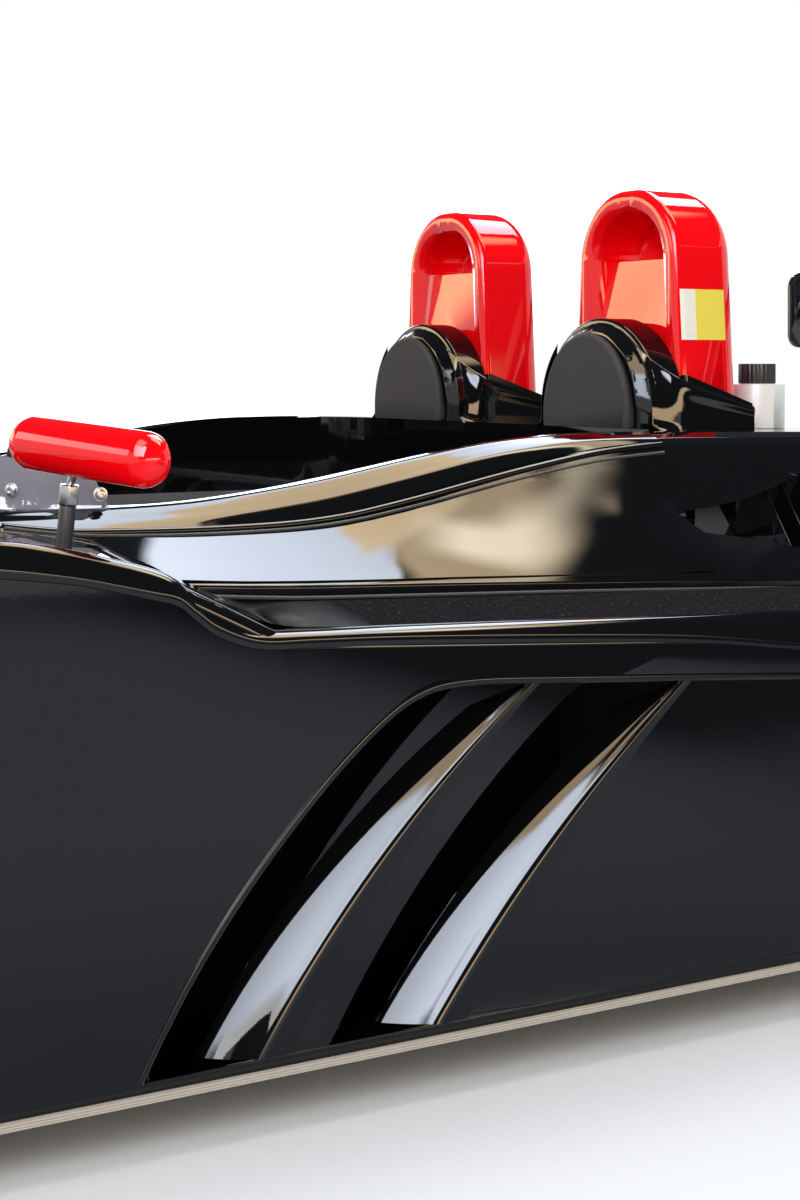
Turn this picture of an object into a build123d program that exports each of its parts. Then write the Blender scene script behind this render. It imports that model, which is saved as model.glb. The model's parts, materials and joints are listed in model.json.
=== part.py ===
from build123d import *
from functools import cache
from math import cos, radians, sin, tan
import os

# Two-seat open sports racing car, closed-wheel bodywork. Millimetres.
# X points forward, Y to the car's left and Z up. The origin is on the ground,
# midway between nose and tail.

# Overall layout
HALF_LENGTH = 2000
FRONT_AXLE_X = 1250
REAR_AXLE_X = -1200
FRONT_TYRE_RADIUS = 275
REAR_TYRE_RADIUS = 288
FRONT_TYRE_WIDTH = 200
REAR_TYRE_WIDTH = 240
FRONT_WHEEL_Y = 712
REAR_WHEEL_Y = 702
FLANK_Y = 800
SKIN = 6
SEAM = 0.4

# Where the body panels meet along the car
FRONT_SPLIT_X = 860
REAR_SPLIT_X = -700
TAIL_X = -HALF_LENGTH + 50

# Floor board and tub
FLOOR_Z = 60
FLOOR_THICK = 9
FLOOR_TOP = FLOOR_Z + FLOOR_THICK
TUB_WALL = 22
TUB_HALF = 500
TUB_TOP = 585
TUB_REAR_X = -330
TUB_SCUTTLE_X = 640
TUB_NOSE_X = 1350
TUB_NOSE_HALF = 260
TUB_NOSE_TOP = 430
FOOTWELL_BEND_X = 1000
FOOTWELL_BEND_HALF = 300

# Cockpit
COCKPIT_REAR_X = -331
COCKPIT_FRONT_X = 590
COCKPIT_HALF = 506
COCKPIT_CORNER = 120
SEAT_Y = 256.5
SEAT_HALF = 200
SEAT_BACK_X = -300
SEAT_FRONT_X = 300
SEAT_TOP_Z = 578
BOLSTER = 34
SEAT_FLOOR_Z = FLOOR_TOP + TUB_WALL

# Roll hoop covers, headrest hoods and pads
HOOP_FRONT_X = -382
HOOP_REAR_X = -503
HOOP_TOP_Z = 1067
HOOP_FOOT_HALF = 138
HOOP_SHOULDER_HALF = 113
HOOP_CROWN_RADIUS = 108
HOOP_EDGE = 40
HOOP_LIP = 38
HOOP_LIP_RADIUS = 13
HOOP_POCKET = 88
POCKET_FOOT_Z = 790
POCKET_LIP_Z = 962
POCKET_SLOPE = 30
DECK_Z = 711
DECK_SINK = 40
HOOD_TOP_Z = 874
HOOD_RIM_X = -334
HOOD_FRONT_X = -318
HOOD_HALF = 141
HOOD_RIB = 4
HOOD_EDGE = 5
COVE_HALF = 112
COVE_TOP_Z = 855
FOOT_WIDTH = 11
FOOT_REAR_Z = 748
FOOT_FRONT_Z = 790
PAD_FACE_X = -304
PAD_HALF = 106
PAD_LOW_Z = 651
PAD_MIDDLE_Z = 728
PAD_TOP_Z = 851
PAD_EDGE = 7

# Flank vents: two leaning slots, each with a ramp that comes out to the flank.
# Each line is x, z at its foot, middle and top
VENT_FRONT = ((639, 81), (530, 251), (330, 441))
VENT_LEAD = ((557, 81), (426, 251), (216, 419))
VENT_CREASE = ((502, 81), (375, 251), (155, 449))
VENT_CORNER = ((298, 455), (258, 457))
VENT_PITCH = 218
VENT_DROP = 15
VENT_DEPTH = 42
VENT_RECESS = 3
VENT_COUNT = 2
BLADE_SKIN = 4
DUCT_Y = 690
SILL_TOP_Z = 80
VENT_FLOOR = 5

# Steering and suspension
PIN_CLEARANCE = 0.4
RUNNING_GAP = 6
KINGPIN_Y = 622
KINGPIN_RADIUS = 11
BALL_EYE_RADIUS = 24
BALL_EYE_HALF = 12
SPINDLE_RADIUS = 18
SPINDLE_LENGTH = 70
UPRIGHT_THICK = 26
UPRIGHT_WIDTH = 60
PIN_ROOT = 10
STEER_ARM = 145
STEER_EYE_Y = 578
STEER_ARM_Z = 240
STEER_ARM_WIDTH = 22
STEER_ARM_HEIGHT = 50
FORK_ROOT = 45
FORK_TIP = 18
FORK_GAP = 15
FORK_PLATE = 10
TIE_ROD_RADIUS = 8
TIE_ROD_EYE_HALF = 9
TIE_ROD_EYE_RADIUS = 16
RACK_HOUSING_HALF = 300
RACK_HOUSING_RADIUS = 22
RACK_FOOT_Y = 180
RACK_FOOT = (30, 36)
WISHBONE_TUBE = 11
LOWER_ARM_Z = 150
UPPER_ARM_Z = 385
LOWER_SPREAD = 85
UPPER_SPREAD = 75
REAR_SPREAD = 120
ARM_SINK = 60
WHEEL_RIM_RADIUS = 168
RIM_WALL = 9
RIM_WELL = 14
RIM_SET_IN = 12
SPOKES = 8
SPOKE_SET_IN = 30
SPOKE_THICK = 20
HUB_RADIUS = 50
HUB_SET_IN = 8
STUB_RADIUS = 30
DISC_RADIUS = 128
DISC_THICK = 22
DISC_OUT = 78
DRIVESHAFT_RADIUS = 14
SHAFT_FIT = 0.1
SHAFT_IN_BOSS = 30
COLUMN_TILT = 17
COLUMN_RADIUS = 9
COLUMN_TUBE_RADIUS = 18
COLUMN_TUBE_START = 110
COLUMN_TUBE_END = 420
COLUMN_BRACKET = 345
COLUMN_HOLE_END = 1300
STEERING_WHEEL_X = 330
STEERING_WHEEL_Z = 560
STEERING_WHEEL_RADIUS = 132
GRIP_RADIUS = 13
STEERING_HUB_RADIUS = 38
STEERING_HUB_DEPTH = 34
STEERING_SPOKE = (34, 6)

# Side intakes behind the cockpit, x, z of the front tip
INTAKE_TIP = (-208, 612)
INTAKE_REAR_X = -470
INTAKE_TOP_Z = 658
INTAKE_LOW_Z = 540
INTAKE_BOW = 10
INTAKE_WALL = 4
INTAKE_BACK_Y = 548
INTAKE_FINS = 2
INTAKE_FIN_X = -388
INTAKE_FIN_PITCH = 34

# Rear wing
WING_HALF_SPAN = 780
WING_CHORD = 230
WING_SLOT = 6
WING_HOLLOW = 2
WING_BELLY = 26
FLAP_CHORD = 95
FLAP_RISE = 60
WING_Z = 965
WING_REAR_X = -HALF_LENGTH
ENDPLATE_THICK = 8
PYLON_Y = 230
PYLON_THICK = 10
PYLON_FOOT = 170
PYLON_FOOT_Z = 400
PYLON_HEAD = 110
PYLON_SET_BACK = 20

# Engine, gearbox and tail
ENGINE_REAR_X = -860
ENGINE_HALF = 250
ENGINE_TOP = 490
ENGINE_LIFT = 20
GEARBOX_REAR_X = -1330
GEARBOX_HALF = 110
GEARBOX_HEIGHT = 200
GEARBOX_Z = 290
BOSS_RADIUS = 42
BOSS_LENGTH = 40
MOUNT_PLATE = 14
MOUNT_PLATE_HALF = 190
MOUNT_PLATE_HEIGHT = 280
MOUNT_PLATE_Z = 280
MOUNT_PLATE_STEP = 112
DIFFUSER_FRONT_X = -1000
DIFFUSER_REAR_X = TAIL_X - 10
DIFFUSER_HALF = 470
DIFFUSER_EXIT_Z = 196
STRAKE_Y = 160
STRAKE_BEND_X = -1400
STRAKE_LOW_Z = 90
EXHAUST_Y = 150
EXHAUST_Z = 330
EXHAUST_RADIUS = 38
EXHAUST_WALL = 4
EXHAUST_OUT = 30

# Small parts on the bodywork
SCREEN_FRONT_X = 800
SCREEN_REAR_X = 560
SCREEN_HALF = 533
SCREEN_THICK = 4
SCREEN_LOW_Z = 580
SCREEN_HEEL_Z = 640
SCREEN_HEEL = 20
SCREEN_END_Z = 678
SCREEN_TOP_Z = 736
MIRROR_X = 672
MIRROR_Y = 730
MIRROR_Z = 716
MIRROR_HALF = 128
MIRROR_RADIUS = 33
MIRROR_DROOP = 2
MIRROR_STALK_Y = 676
MIRROR_STALK_LOW_Z = 560
MIRROR_STALK_LEAN = 6
MIRROR_STALK_RADIUS = 8
BOTTLE_X = -605
BOTTLE_Y = 298
BOTTLE_RADIUS = 42
BOTTLE_LOW_Z = 640
BOTTLE_SHOULDER_Z = 775
BOTTLE_TOP_Z = 805
BOTTLE_CAP_RADIUS = 27
LAMP_Y = 640
HEADLAMP_Z = 400
HEADLAMP_HALF = (95, 46)
HEADLAMP_REAR_X = 1700
HEADLAMP_REACH = 300
TAIL_LAMP_Z = 430
TAIL_LAMP_RADIUS = 44
TAIL_LAMP_REACH = 30
MOUTH_Z = (82, 160)
MOUTH_HALF = 170
MOUTH_DEPTH = 200
TOW_EYE_Y = -250
TOW_EYE_Z = 250
TOW_EYE_RADIUS = 12
TOW_EYE_WALL = 10
TOW_EYE_THICK = 12
TOW_FLANGE = 6


def across(x):
    """Plane across the car at x, with local x to the left and local y up."""
    return Plane(origin=(x, 0, 0), x_dir=(0, 1, 0), z_dir=(1, 0, 0))


def side(y):
    """Plane along the car at y, with local x forward and local y up."""
    return Plane(origin=(0, y, 0), x_dir=(1, 0, 0), z_dir=(0, -1, 0))


def ring(plane, points, radii):
    """Flat face inside a closed outline, with a tangent arc at each corner that has a radius."""
    count = len(points)
    corners = []
    for n, radius in enumerate(radii):
        here = Vector(*points[n])
        if radius == 0:
            corners.append((here, None, here))
            continue
        back = (Vector(*points[n - 1]) - here).normalized()
        ahead = (Vector(*points[(n + 1) % count]) - here).normalized()
        half = radians(back.get_angle(ahead)) / 2
        reach = radius / tan(half)
        inward = (back + ahead).normalized()
        middle = here + inward * (radius / sin(half) - radius)
        corners.append((here + back * reach, middle, here + ahead * reach))
    edges = []
    for n, corner in enumerate(corners):
        if corner[1] is not None:
            edges.append(ThreePointArc(*corner))
        edges.append(Line(corner[2], corners[(n + 1) % count][0]))
    return plane * make_face(edges)


def slab(points, bottom, top):
    """Plate with straight edges between two heights."""
    face = make_face(Polyline(*points, close=True))
    return extrude(Pos(0, 0, bottom) * face, top - bottom)


def mirrored(points):
    """Points of a half outline, then their mirror images in reverse order."""
    return points + [(-y, z) for y, z in reversed(points)]


def sideways(shape):
    """The same shape on the car's other side."""
    return mirror(shape, Plane.XZ)


def bar(start, end, radius):
    """Round bar between two points."""
    a, b = Vector(*start), Vector(*end)
    plane = Plane(origin=a, z_dir=(b - a).normalized())
    return extrude(plane * Circle(radius), (b - a).length)


def drum(center, radius, half_width):
    """Cylinder that lies along Y."""
    x, y, z = center
    return extrude(Plane(origin=(x, y - half_width, z), z_dir=(0, 1, 0)) * Circle(radius), 2 * half_width)


def write(name, shape):
    export_step(shape, "parts/" + name + ".step")
    print(name)


# Body skins. Columns: x, low edge z, hood y, z, valley y, z, crest y, z, side y, z
FRONT_ROWS = (
    (FRONT_SPLIT_X, 75, 380, 645, 500, 636, 660, 636, 800, 622),
    (FRONT_AXLE_X, 75, 290, 520, 430, 508, 640, 662, 845, 590),
    (HALF_LENGTH - 400, 75, 270, 405, 420, 385, 640, 575, 832, 455),
    (HALF_LENGTH - 120, 75, 240, 275, 420, 255, 620, 375, 790, 280),
    (HALF_LENGTH - 15, 75, 200, 175, 400, 165, 580, 205, 690, 172),
)
REAR_ROWS = (
    (REAR_SPLIT_X, 75, 380, 706, 490, 702, 655, 518, 800, 440),
    (-930, 75, 330, 690, 455, 650, 660, 655, 838, 575),
    (REAR_AXLE_X, 75, 280, 650, 440, 590, 655, 706, 855, 620),
    (-1600, 130, 220, 585, 420, 520, 650, 655, 850, 560),
    (TAIL_X, 210, 180, 505, 420, 455, 640, 545, 800, 460),
)
SKIN_RADII = (40, 60, 90, 40)


def body_section(row, inset):
    """Section across the whole width at one station, moved inwards by inset."""
    x, low, hood_y, hood_z, valley_y, valley_z, crest_y, crest_z, side_y, side_z = row
    if inset:
        low = low - 4 * inset
    half = [
        (hood_y, hood_z - inset),
        (valley_y, valley_z - inset),
        (crest_y, crest_z - inset),
        (side_y - inset, side_z - inset),
        (side_y - inset, low),
    ]
    radii = list(SKIN_RADII) + [0]
    return ring(across(x), mirrored(half), radii + radii[::-1])


def body_loft(rows, inset):
    """Solid through all stations of a body table."""
    return loft([body_section(row, inset) for row in rows])


def shifted(rows, index, amount):
    """The same table with one station moved along the car."""
    row = rows[index]
    moved = (row[0] + amount,) + row[1:]
    changed = list(rows)
    changed[index] = moved
    return changed


def arch(axle_x, radius, centre_z):
    """Wheel arch cut through both flanks."""
    opening = drum((axle_x, 0, centre_z), radius, 2 * FLANK_Y)
    core = Pos(axle_x, 0, centre_z) * Box(3 * radius, 2 * 640, 3 * radius)
    return opening - core


FRONT_ARCH_RADIUS = 325
REAR_ARCH_RADIUS = 330


def front_clam():
    """Nose and front wings in one moulding, open below and behind."""
    outer = body_loft(FRONT_ROWS, 0)
    inner = body_loft(shifted(shifted(FRONT_ROWS, -1, -SKIN), 0, -1), SKIN)
    return outer - inner


def rear_clam():
    """Engine cover and rear wings in one moulding, open below and in front."""
    outer = body_loft(REAR_ROWS, 0)
    inner = body_loft(shifted(shifted(REAR_ROWS, -1, SKIN), 0, 1), SKIN)
    return outer - inner


# Side panel outlines seen from the side: x, z at the flank, z at the inner edge
SIDE_TOP = (
    (FRONT_SPLIT_X - SEAM, 622, 650),
    (600, 583, 614),
    (470, 518, 555),
    (-60, 485, 545),
    (REAR_SPLIT_X + SEAM, 440, 546),
)
SIDE_INNER_Y = 560
SIDE_BEND_RADIUS = 90
LEDGE_BEND_RADIUS = 600
BEAD_RADIUS = 14
SIDE_BEAD_Z = 430


def side_outline(column, inset):
    """Side view of the panel at one distance from the middle of the car."""
    tops = [(row[0], row[column] - inset) for row in SIDE_TOP]
    tops[0] = (tops[0][0] + (1 if inset else 0), tops[0][1])
    tops[-1] = (tops[-1][0] - (1 if inset else 0), tops[-1][1])
    low = FLOOR_TOP if inset == 0 else FLOOR_TOP - SKIN
    points = tops + [(tops[-1][0], low), (tops[0][0], low)]
    y = FLANK_Y - inset if column == 1 else SIDE_INNER_Y - inset
    return ring(side(y), points, [0, SIDE_BEND_RADIUS, SIDE_BEND_RADIUS, LEDGE_BEND_RADIUS, 0, 0, 0])


def side_volume(inset):
    """Solid between the outline at the flank and the one at the inner edge."""
    return loft([side_outline(1, inset), side_outline(2, inset)])


def vent_line(points, n, shift=0):
    """Arc of a vent line for slot number n, moved forward by shift. Its foot stays level."""
    foot, middle, top = points
    back = shift - n * VENT_PITCH
    drop = n * VENT_DROP
    return [(foot[0] + back, foot[1]), (middle[0] + back, middle[1] - drop), (top[0] + back, top[1] - drop)]


def vent_opening(n):
    """Outline of one slot in the flank, seen from the side."""
    front, crease = vent_line(VENT_FRONT, n), vent_line(VENT_CREASE, n)
    corner = [(x - n * VENT_PITCH, z - n * VENT_DROP) for x, z in VENT_CORNER]
    edges = [
        ThreePointArc(*front),
        ThreePointArc(front[2], *corner),
        Line(corner[1], crease[2]),
        ThreePointArc(*crease),
        Line(crease[0], front[0]),
    ]
    return make_face(edges)


def vent_strip(points, n, y):
    """Thin end face of a ramp at one distance from the middle of the car."""
    near, far = vent_line(points, n), vent_line(points, n, -BLADE_SKIN)
    edges = [ThreePointArc(*near), Line(near[2], far[2]), ThreePointArc(*far), Line(far[0], near[0])]
    return side(y) * make_face(edges)


def vent_ramp(n):
    """Ramp that starts inboard behind the slot's front edge and ends flush with the flank."""
    outer_y = FLANK_Y - VENT_RECESS
    return loft([vent_strip(VENT_LEAD, n, outer_y - VENT_DEPTH), vent_strip(VENT_CREASE, n, outer_y)])


def vent_field():
    """Shallow recess of the flank round and behind the vents, seen from the side."""
    front = vent_line(VENT_FRONT, 0)
    tail_drop = VENT_DROP * (VENT_CORNER[1][0] - REAR_SPLIT_X) / VENT_PITCH
    edges = [
        ThreePointArc(*front),
        ThreePointArc(front[2], *VENT_CORNER),
        Line(VENT_CORNER[1], (REAR_SPLIT_X, VENT_CORNER[1][1] - tail_drop)),
        Line((REAR_SPLIT_X, VENT_CORNER[1][1] - tail_drop), (REAR_SPLIT_X, front[0][1])),
        Line((REAR_SPLIT_X, front[0][1]), front[0]),
    ]
    return make_face(edges)


def side_panel():
    """Left side panel with its ledge, bead, sill groove and two ramped vents."""
    outer = side_volume(0)
    bead = outer.edges().filter_by(lambda e: abs(e.center().Y - FLANK_Y) < 1 and e.center().Z > SIDE_BEAD_Z)
    inner = side_volume(SKIN)
    duct = Pos((FRONT_SPLIT_X + VENT_CREASE[2][0]) / 2 - VENT_PITCH / 2, DUCT_Y, FLANK_Y / 2)
    duct *= Box(FRONT_SPLIT_X - VENT_CREASE[2][0], BLADE_SKIN, FLANK_Y)
    ledge = Pos(duct.center().X, (DUCT_Y + FLANK_Y) / 2, SILL_TOP_Z - VENT_FLOOR / 2)
    ledge *= Box(FRONT_SPLIT_X - VENT_CREASE[2][0], FLANK_Y - DUCT_Y, VENT_FLOOR)
    skin = fillet(bead, BEAD_RADIUS) - inner + ((duct + ledge) & outer)
    skin -= extrude(side(FLANK_Y + SKIN) * vent_field(), SKIN + VENT_RECESS)
    for n in range(VENT_COUNT):
        skin -= extrude(side(FLANK_Y + SKIN) * vent_opening(n), 3 * SKIN)
        skin += vent_ramp(n)
    length = FRONT_SPLIT_X - REAR_SPLIT_X
    sill = Pos((FRONT_SPLIT_X + REAR_SPLIT_X) / 2, FLANK_Y, SILL_TOP_Z / 2)
    return skin - sill * Box(length, 2 * VENT_RECESS, SILL_TOP_Z) - surround_loft(-SEAM)


# Cockpit surround. Columns: x, rim half width, then z at the rim, the lip's low edge,
# the slope's head and the slope's foot. Stations bunch towards both ends of the smooth
# part, which keeps the curve through them from swinging
SURROUND_ROWS = (
    (FRONT_SPLIT_X - SEAM, 520, 640, 629, 619, 606),
    (749, 525, 643, 630, 621, 592),
    (549, 531, 639, 624, 614, 565),
    (299, 528, 660, 638, 616, 550),
    (49, 514, 700, 685, 661, 539),
    (-151, 505, 712, 705, 693, 530),
    (-262, 500, 713, 706, 697, 524),
    (REAR_SPLIT_X + SEAM, 490, 706, 699, 690, 505),
)
SURROUND_SIDE_Y = 655
SURROUND_LOW_Z = 498
LIP_WIDTH = 22
SLOPE_HEAD = 34


def surround_section(row, inset):
    """Section of the surround at one station: rim with its lip, a step below it and the slope."""
    x, rim_y, top_z, lip_z, head_z, foot_z = row
    low = SURROUND_LOW_Z - 4 * abs(inset)
    half = [
        (rim_y - inset, top_z - inset),
        (rim_y + LIP_WIDTH - inset, lip_z - inset / 2),
        (rim_y + SLOPE_HEAD - inset, head_z - inset / 2),
        (SURROUND_SIDE_Y - inset, foot_z - inset / 2),
        (SURROUND_SIDE_Y - inset, low),
    ]
    radii = [7, 4, 7, 5, 0]
    if inset >= SKIN:
        half.pop(1)
        radii = [0, 0, 0, 0]
    return ring(across(x), mirrored(half), radii + radii[::-1])


@cache
def surround_loft(inset):
    """Volume of the surround: smooth beside the cockpit and straight behind it."""
    sections = [surround_section(row, inset) for row in SURROUND_ROWS]
    return loft(sections[:-1]) + loft(sections[-2:], ruled=True)


def cockpit_plan(grow):
    """Plan of the cockpit opening, larger all round by grow."""
    length = COCKPIT_FRONT_X - COCKPIT_REAR_X + 2 * grow
    middle = (COCKPIT_FRONT_X + COCKPIT_REAR_X) / 2
    shape = RectangleRounded(length, 2 * (COCKPIT_HALF + grow - 18), COCKPIT_CORNER + grow)
    return Pos(middle, 0, 400) * shape


def intake_outline(grow):
    """Side view of the intake behind the cockpit, larger all round by grow."""
    tip = (INTAKE_TIP[0] + grow, INTAKE_TIP[1])
    high = (INTAKE_REAR_X, INTAKE_TOP_Z + grow)
    low = (INTAKE_REAR_X, INTAKE_LOW_Z - grow)
    chin = (INTAKE_TIP[0] - 34, INTAKE_TIP[1] - 28 - grow)
    brow_z = (tip[1] + high[1]) / 2 - INTAKE_BOW + grow
    jaw_z = (low[1] + chin[1]) / 2 + INTAKE_BOW / 2
    edges = [
        ThreePointArc(tip, ((tip[0] + high[0]) / 2, brow_z), high),
        Line(high, low),
        ThreePointArc(low, ((low[0] + chin[0]) / 2, jaw_z), chin),
        Line(chin, tip),
    ]
    return make_face(edges)


def intake():
    """Cut of the left intake, and the walls and fins that line it."""
    depth = SURROUND_SIDE_Y - INTAKE_BACK_Y
    cut = extrude(side(SURROUND_SIDE_Y) * intake_outline(0), depth)
    walls = extrude(side(SURROUND_SIDE_Y) * intake_outline(INTAKE_WALL), depth + INTAKE_WALL) - cut
    fins = Part()
    for n in range(INTAKE_FINS):
        x = INTAKE_FIN_X - n * INTAKE_FIN_PITCH
        fins += Pos(x, INTAKE_BACK_Y + depth / 2, INTAKE_TOP_Z) * Box(INTAKE_WALL, depth, depth * 4)
    return cut, walls & surround_loft(0), fins & cut & surround_loft(SKIN)


def surround():
    """Upper body round the cockpit, with a liner that drops to the tub and two side intakes."""
    outer = surround_loft(0)
    void = surround_loft(SKIN) - extrude(cockpit_plan(SKIN), 2 * FLANK_Y)
    shell = outer - void - extrude(cockpit_plan(0), 2 * FLANK_Y)
    tub_room = Pos((TUB_REAR_X + TUB_SCUTTLE_X) / 2, 0, TUB_TOP - 100)
    shell -= tub_room * Box(TUB_SCUTTLE_X - TUB_REAR_X + 500, 2 * (TUB_HALF + 2), 200)
    ends = Pos(0, 0, SURROUND_LOW_Z - FLANK_Y) * Box(4 * FLANK_Y, 4 * FLANK_Y, 2 * FLANK_Y)
    cut, walls, fins = intake()
    left = walls + fins
    return shell - cut - sideways(cut) + left + sideways(left) - ends


def crown_outline(foot, shoulder, top, radius):
    """Front view of an upright form with tapered legs and a round top, sunk below the deck."""
    half = [(-foot, DECK_Z - DECK_SINK), (-shoulder, top)]
    return ring(Plane.XY, half + [(-y, z) for y, z in reversed(half)], [0, radius, radius, 0])


def hoop_outline(inset):
    """Front view of a hoop cover, moved inwards by inset."""
    foot, shoulder = HOOP_FOOT_HALF - inset, HOOP_SHOULDER_HALF - inset
    return crown_outline(foot, shoulder, HOOP_TOP_Z - inset, HOOP_CROWN_RADIUS - inset)


def hoop_pocket():
    """Space in the front of a hoop cover: a sloping lower panel, a lip and a deep upper pocket."""
    profile = [
        (HOOP_FRONT_X + 1, POCKET_FOOT_Z),
        (HOOP_FRONT_X - HOOP_LIP_RADIUS, POCKET_FOOT_Z),
        (HOOP_FRONT_X - POCKET_SLOPE, POCKET_LIP_Z),
        (HOOP_FRONT_X - HOOP_POCKET, POCKET_LIP_Z + 6),
        (HOOP_FRONT_X - HOOP_POCKET, HOOP_TOP_Z),
        (HOOP_FRONT_X + 1, HOOP_TOP_Z),
    ]
    reach = extrude(side(HOOP_FOOT_HALF) * make_face(Polyline(*profile, close=True)), 2 * HOOP_FOOT_HALF)
    room = extrude(across(HOOP_FRONT_X - HOOP_POCKET) * hoop_outline(HOOP_LIP), HOOP_POCKET + 1)
    lip_start = across(HOOP_FRONT_X - HOOP_LIP_RADIUS) * hoop_outline(HOOP_LIP)
    lip_end = across(HOOP_FRONT_X + 1) * hoop_outline(HOOP_LIP - HOOP_LIP_RADIUS - 1)
    return reach & (room + loft([lip_start, lip_end]))


def hoop_cover():
    """Red cover over one roll hoop, rounded behind and pocketed in front."""
    shell = extrude(across(HOOP_REAR_X) * hoop_outline(0), HOOP_FRONT_X - HOOP_REAR_X)
    for face, radius in ((0, HOOP_EDGE), (-1, HOOP_LIP_RADIUS)):
        edges = shell.faces().sort_by(Axis.X)[face].edges()
        shell = fillet(edges.filter_by(lambda e: e.center().Z > DECK_Z - DECK_SINK + 1), radius)
    return Pos(0, SEAT_Y, 0) * (shell - hoop_pocket()) - surround_loft(-SEAM)


def arch_outline(half, top):
    """Front view of an upright arch with a round top, sunk below the deck."""
    return crown_outline(half, half, top, half - 1)


def hood():
    """Black headrest hood: an arch that flares out to a rib behind the pad, with feet along the hoop."""
    back = HOOP_FRONT_X + SEAM
    shape = extrude(across(back) * arch_outline(HOOD_HALF, HOOD_TOP_Z), HOOD_RIM_X - back)
    front = shape.faces().sort_by(Axis.X)[-1]
    shape = fillet(front.edges().filter_by(lambda e: e.center().Z > DECK_Z - DECK_SINK + 1), HOOD_EDGE)
    rib = HOOD_RIB + HOOD_EDGE
    cove_foot = across(HOOD_RIM_X - 1) * arch_outline(HOOD_HALF - rib, HOOD_TOP_Z - rib)
    shape += loft([cove_foot, across(HOOD_FRONT_X) * arch_outline(COVE_HALF, COVE_TOP_Z)])
    foot = [
        (HOOP_REAR_X, DECK_Z - DECK_SINK),
        (HOOP_REAR_X, FOOT_REAR_Z),
        (back, FOOT_FRONT_Z),
        (back + HOOD_EDGE, FOOT_FRONT_Z),
        (back + HOOD_EDGE, DECK_Z - DECK_SINK),
    ]
    for sign in (-1, 1):
        edge = sign * (HOOP_FOOT_HALF + SEAM + FOOT_WIDTH / 2)
        shape += extrude(side(edge + FOOT_WIDTH / 2) * make_face(Polyline(*foot, close=True)), FOOT_WIDTH)
    return Pos(0, SEAT_Y, 0) * shape - surround_loft(-SEAM)


def pad():
    """Egg-shaped headrest pad, wider below, with a rounded front edge."""
    back = HOOD_FRONT_X + SEAM
    high, low = PAD_TOP_Z - PAD_MIDDLE_Z, PAD_MIDDLE_Z - PAD_LOW_Z
    upper = Ellipse(PAD_HALF, high) & Pos(0, high / 2) * Rectangle(2 * PAD_HALF, high)
    lower = Ellipse(PAD_HALF, low) & Pos(0, -low / 2) * Rectangle(2 * PAD_HALF, low)
    shape = extrude(across(back) * Pos(0, PAD_MIDDLE_Z) * (upper + lower), PAD_FACE_X - back)
    front = shape.faces().sort_by(Axis.X)[-1]
    return Pos(0, SEAT_Y, 0) * fillet(front.edges(), PAD_EDGE) - surround_loft(-SEAM)


def tub_volume(inset, lift):
    """Tub volume with its walls moved in by inset and its cockpit top raised by lift."""
    half = [
        (TUB_REAR_X + inset, TUB_HALF - inset),
        (TUB_SCUTTLE_X - inset, TUB_HALF - inset),
        (FOOTWELL_BEND_X - inset, FOOTWELL_BEND_HALF - inset),
        (TUB_NOSE_X - inset, TUB_NOSE_HALF - inset),
    ]
    block = slab(half + [(x, -y) for x, y in reversed(half)], FLOOR_TOP + inset, 2 * TUB_TOP)
    profile = [
        (TUB_REAR_X - 50, FLOOR_TOP - 50),
        (TUB_REAR_X - 50, TUB_TOP + lift),
        (TUB_SCUTTLE_X - inset, TUB_TOP + lift),
        (TUB_SCUTTLE_X - inset, TUB_TOP - inset),
        (TUB_NOSE_X + 50, TUB_NOSE_TOP - inset),
        (TUB_NOSE_X + 50, FLOOR_TOP - 50),
    ]
    if lift == 0:
        profile.pop(3)
    return block & extrude(side(600) * make_face(Polyline(*profile, close=True)), 1200)


def tub():
    """Aluminium tub: cockpit bath and closed footwell."""
    shell = tub_volume(0, 0) - tub_volume(TUB_WALL, 100)
    return shell - bar(column_point(0), column_point(COLUMN_HOLE_END), COLUMN_TUBE_RADIUS + RUNNING_GAP)


def column_point(distance):
    """Point on the steering column's axis, ahead of the steering wheel's hub."""
    tilt = radians(COLUMN_TILT)
    return (
        STEERING_WHEEL_X + distance * cos(tilt),
        -SEAT_Y,
        STEERING_WHEEL_Z - distance * sin(tilt),
    )


def floor_board():
    """Plywood floor and splitter, waisted between the wheels."""
    rows = (
        (HALF_LENGTH, 560),
        (1900, 760),
        (1620, 790),
        (1585, 500),
        (930, 500),
        (880, FLANK_Y + 1),
        (-840, FLANK_Y + 1),
        (-890, 470),
        (-1000, 470),
    )
    points = list(rows) + [(x, -y) for x, y in reversed(rows)]
    return slab(points, FLOOR_Z, FLOOR_TOP)


def seat():
    """Left bucket seat shell with bolsters along the pan and the back."""
    outer = [
        (SEAT_BACK_X, SEAT_TOP_Z),
        (SEAT_BACK_X + 90, SEAT_TOP_Z),
        (SEAT_BACK_X + 190, 330),
        (SEAT_FRONT_X - 40, 270),
        (SEAT_FRONT_X, 215),
        (SEAT_FRONT_X, SEAT_FLOOR_Z),
        (SEAT_BACK_X + 110, SEAT_FLOOR_Z),
    ]
    body = extrude(ring(side(SEAT_HALF), outer, [20, 40, 90, 60, 30, 0, 60]), 2 * SEAT_HALF)
    inner = [
        (SEAT_BACK_X + 60, SEAT_TOP_Z + 200),
        (SEAT_FRONT_X + 50, SEAT_TOP_Z + 200),
        (SEAT_FRONT_X + 50, 225),
        (SEAT_BACK_X + 190, 195),
        (SEAT_BACK_X + 60, SEAT_TOP_Z - 40),
    ]
    room = extrude(ring(side(SEAT_HALF - BOLSTER), inner, [0, 0, 0, 90, 0]), 2 * (SEAT_HALF - BOLSTER))
    return Pos(0, SEAT_Y, 0) * (body - fillet(room.edges().filter_by(Axis.X), BOLSTER))


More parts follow.
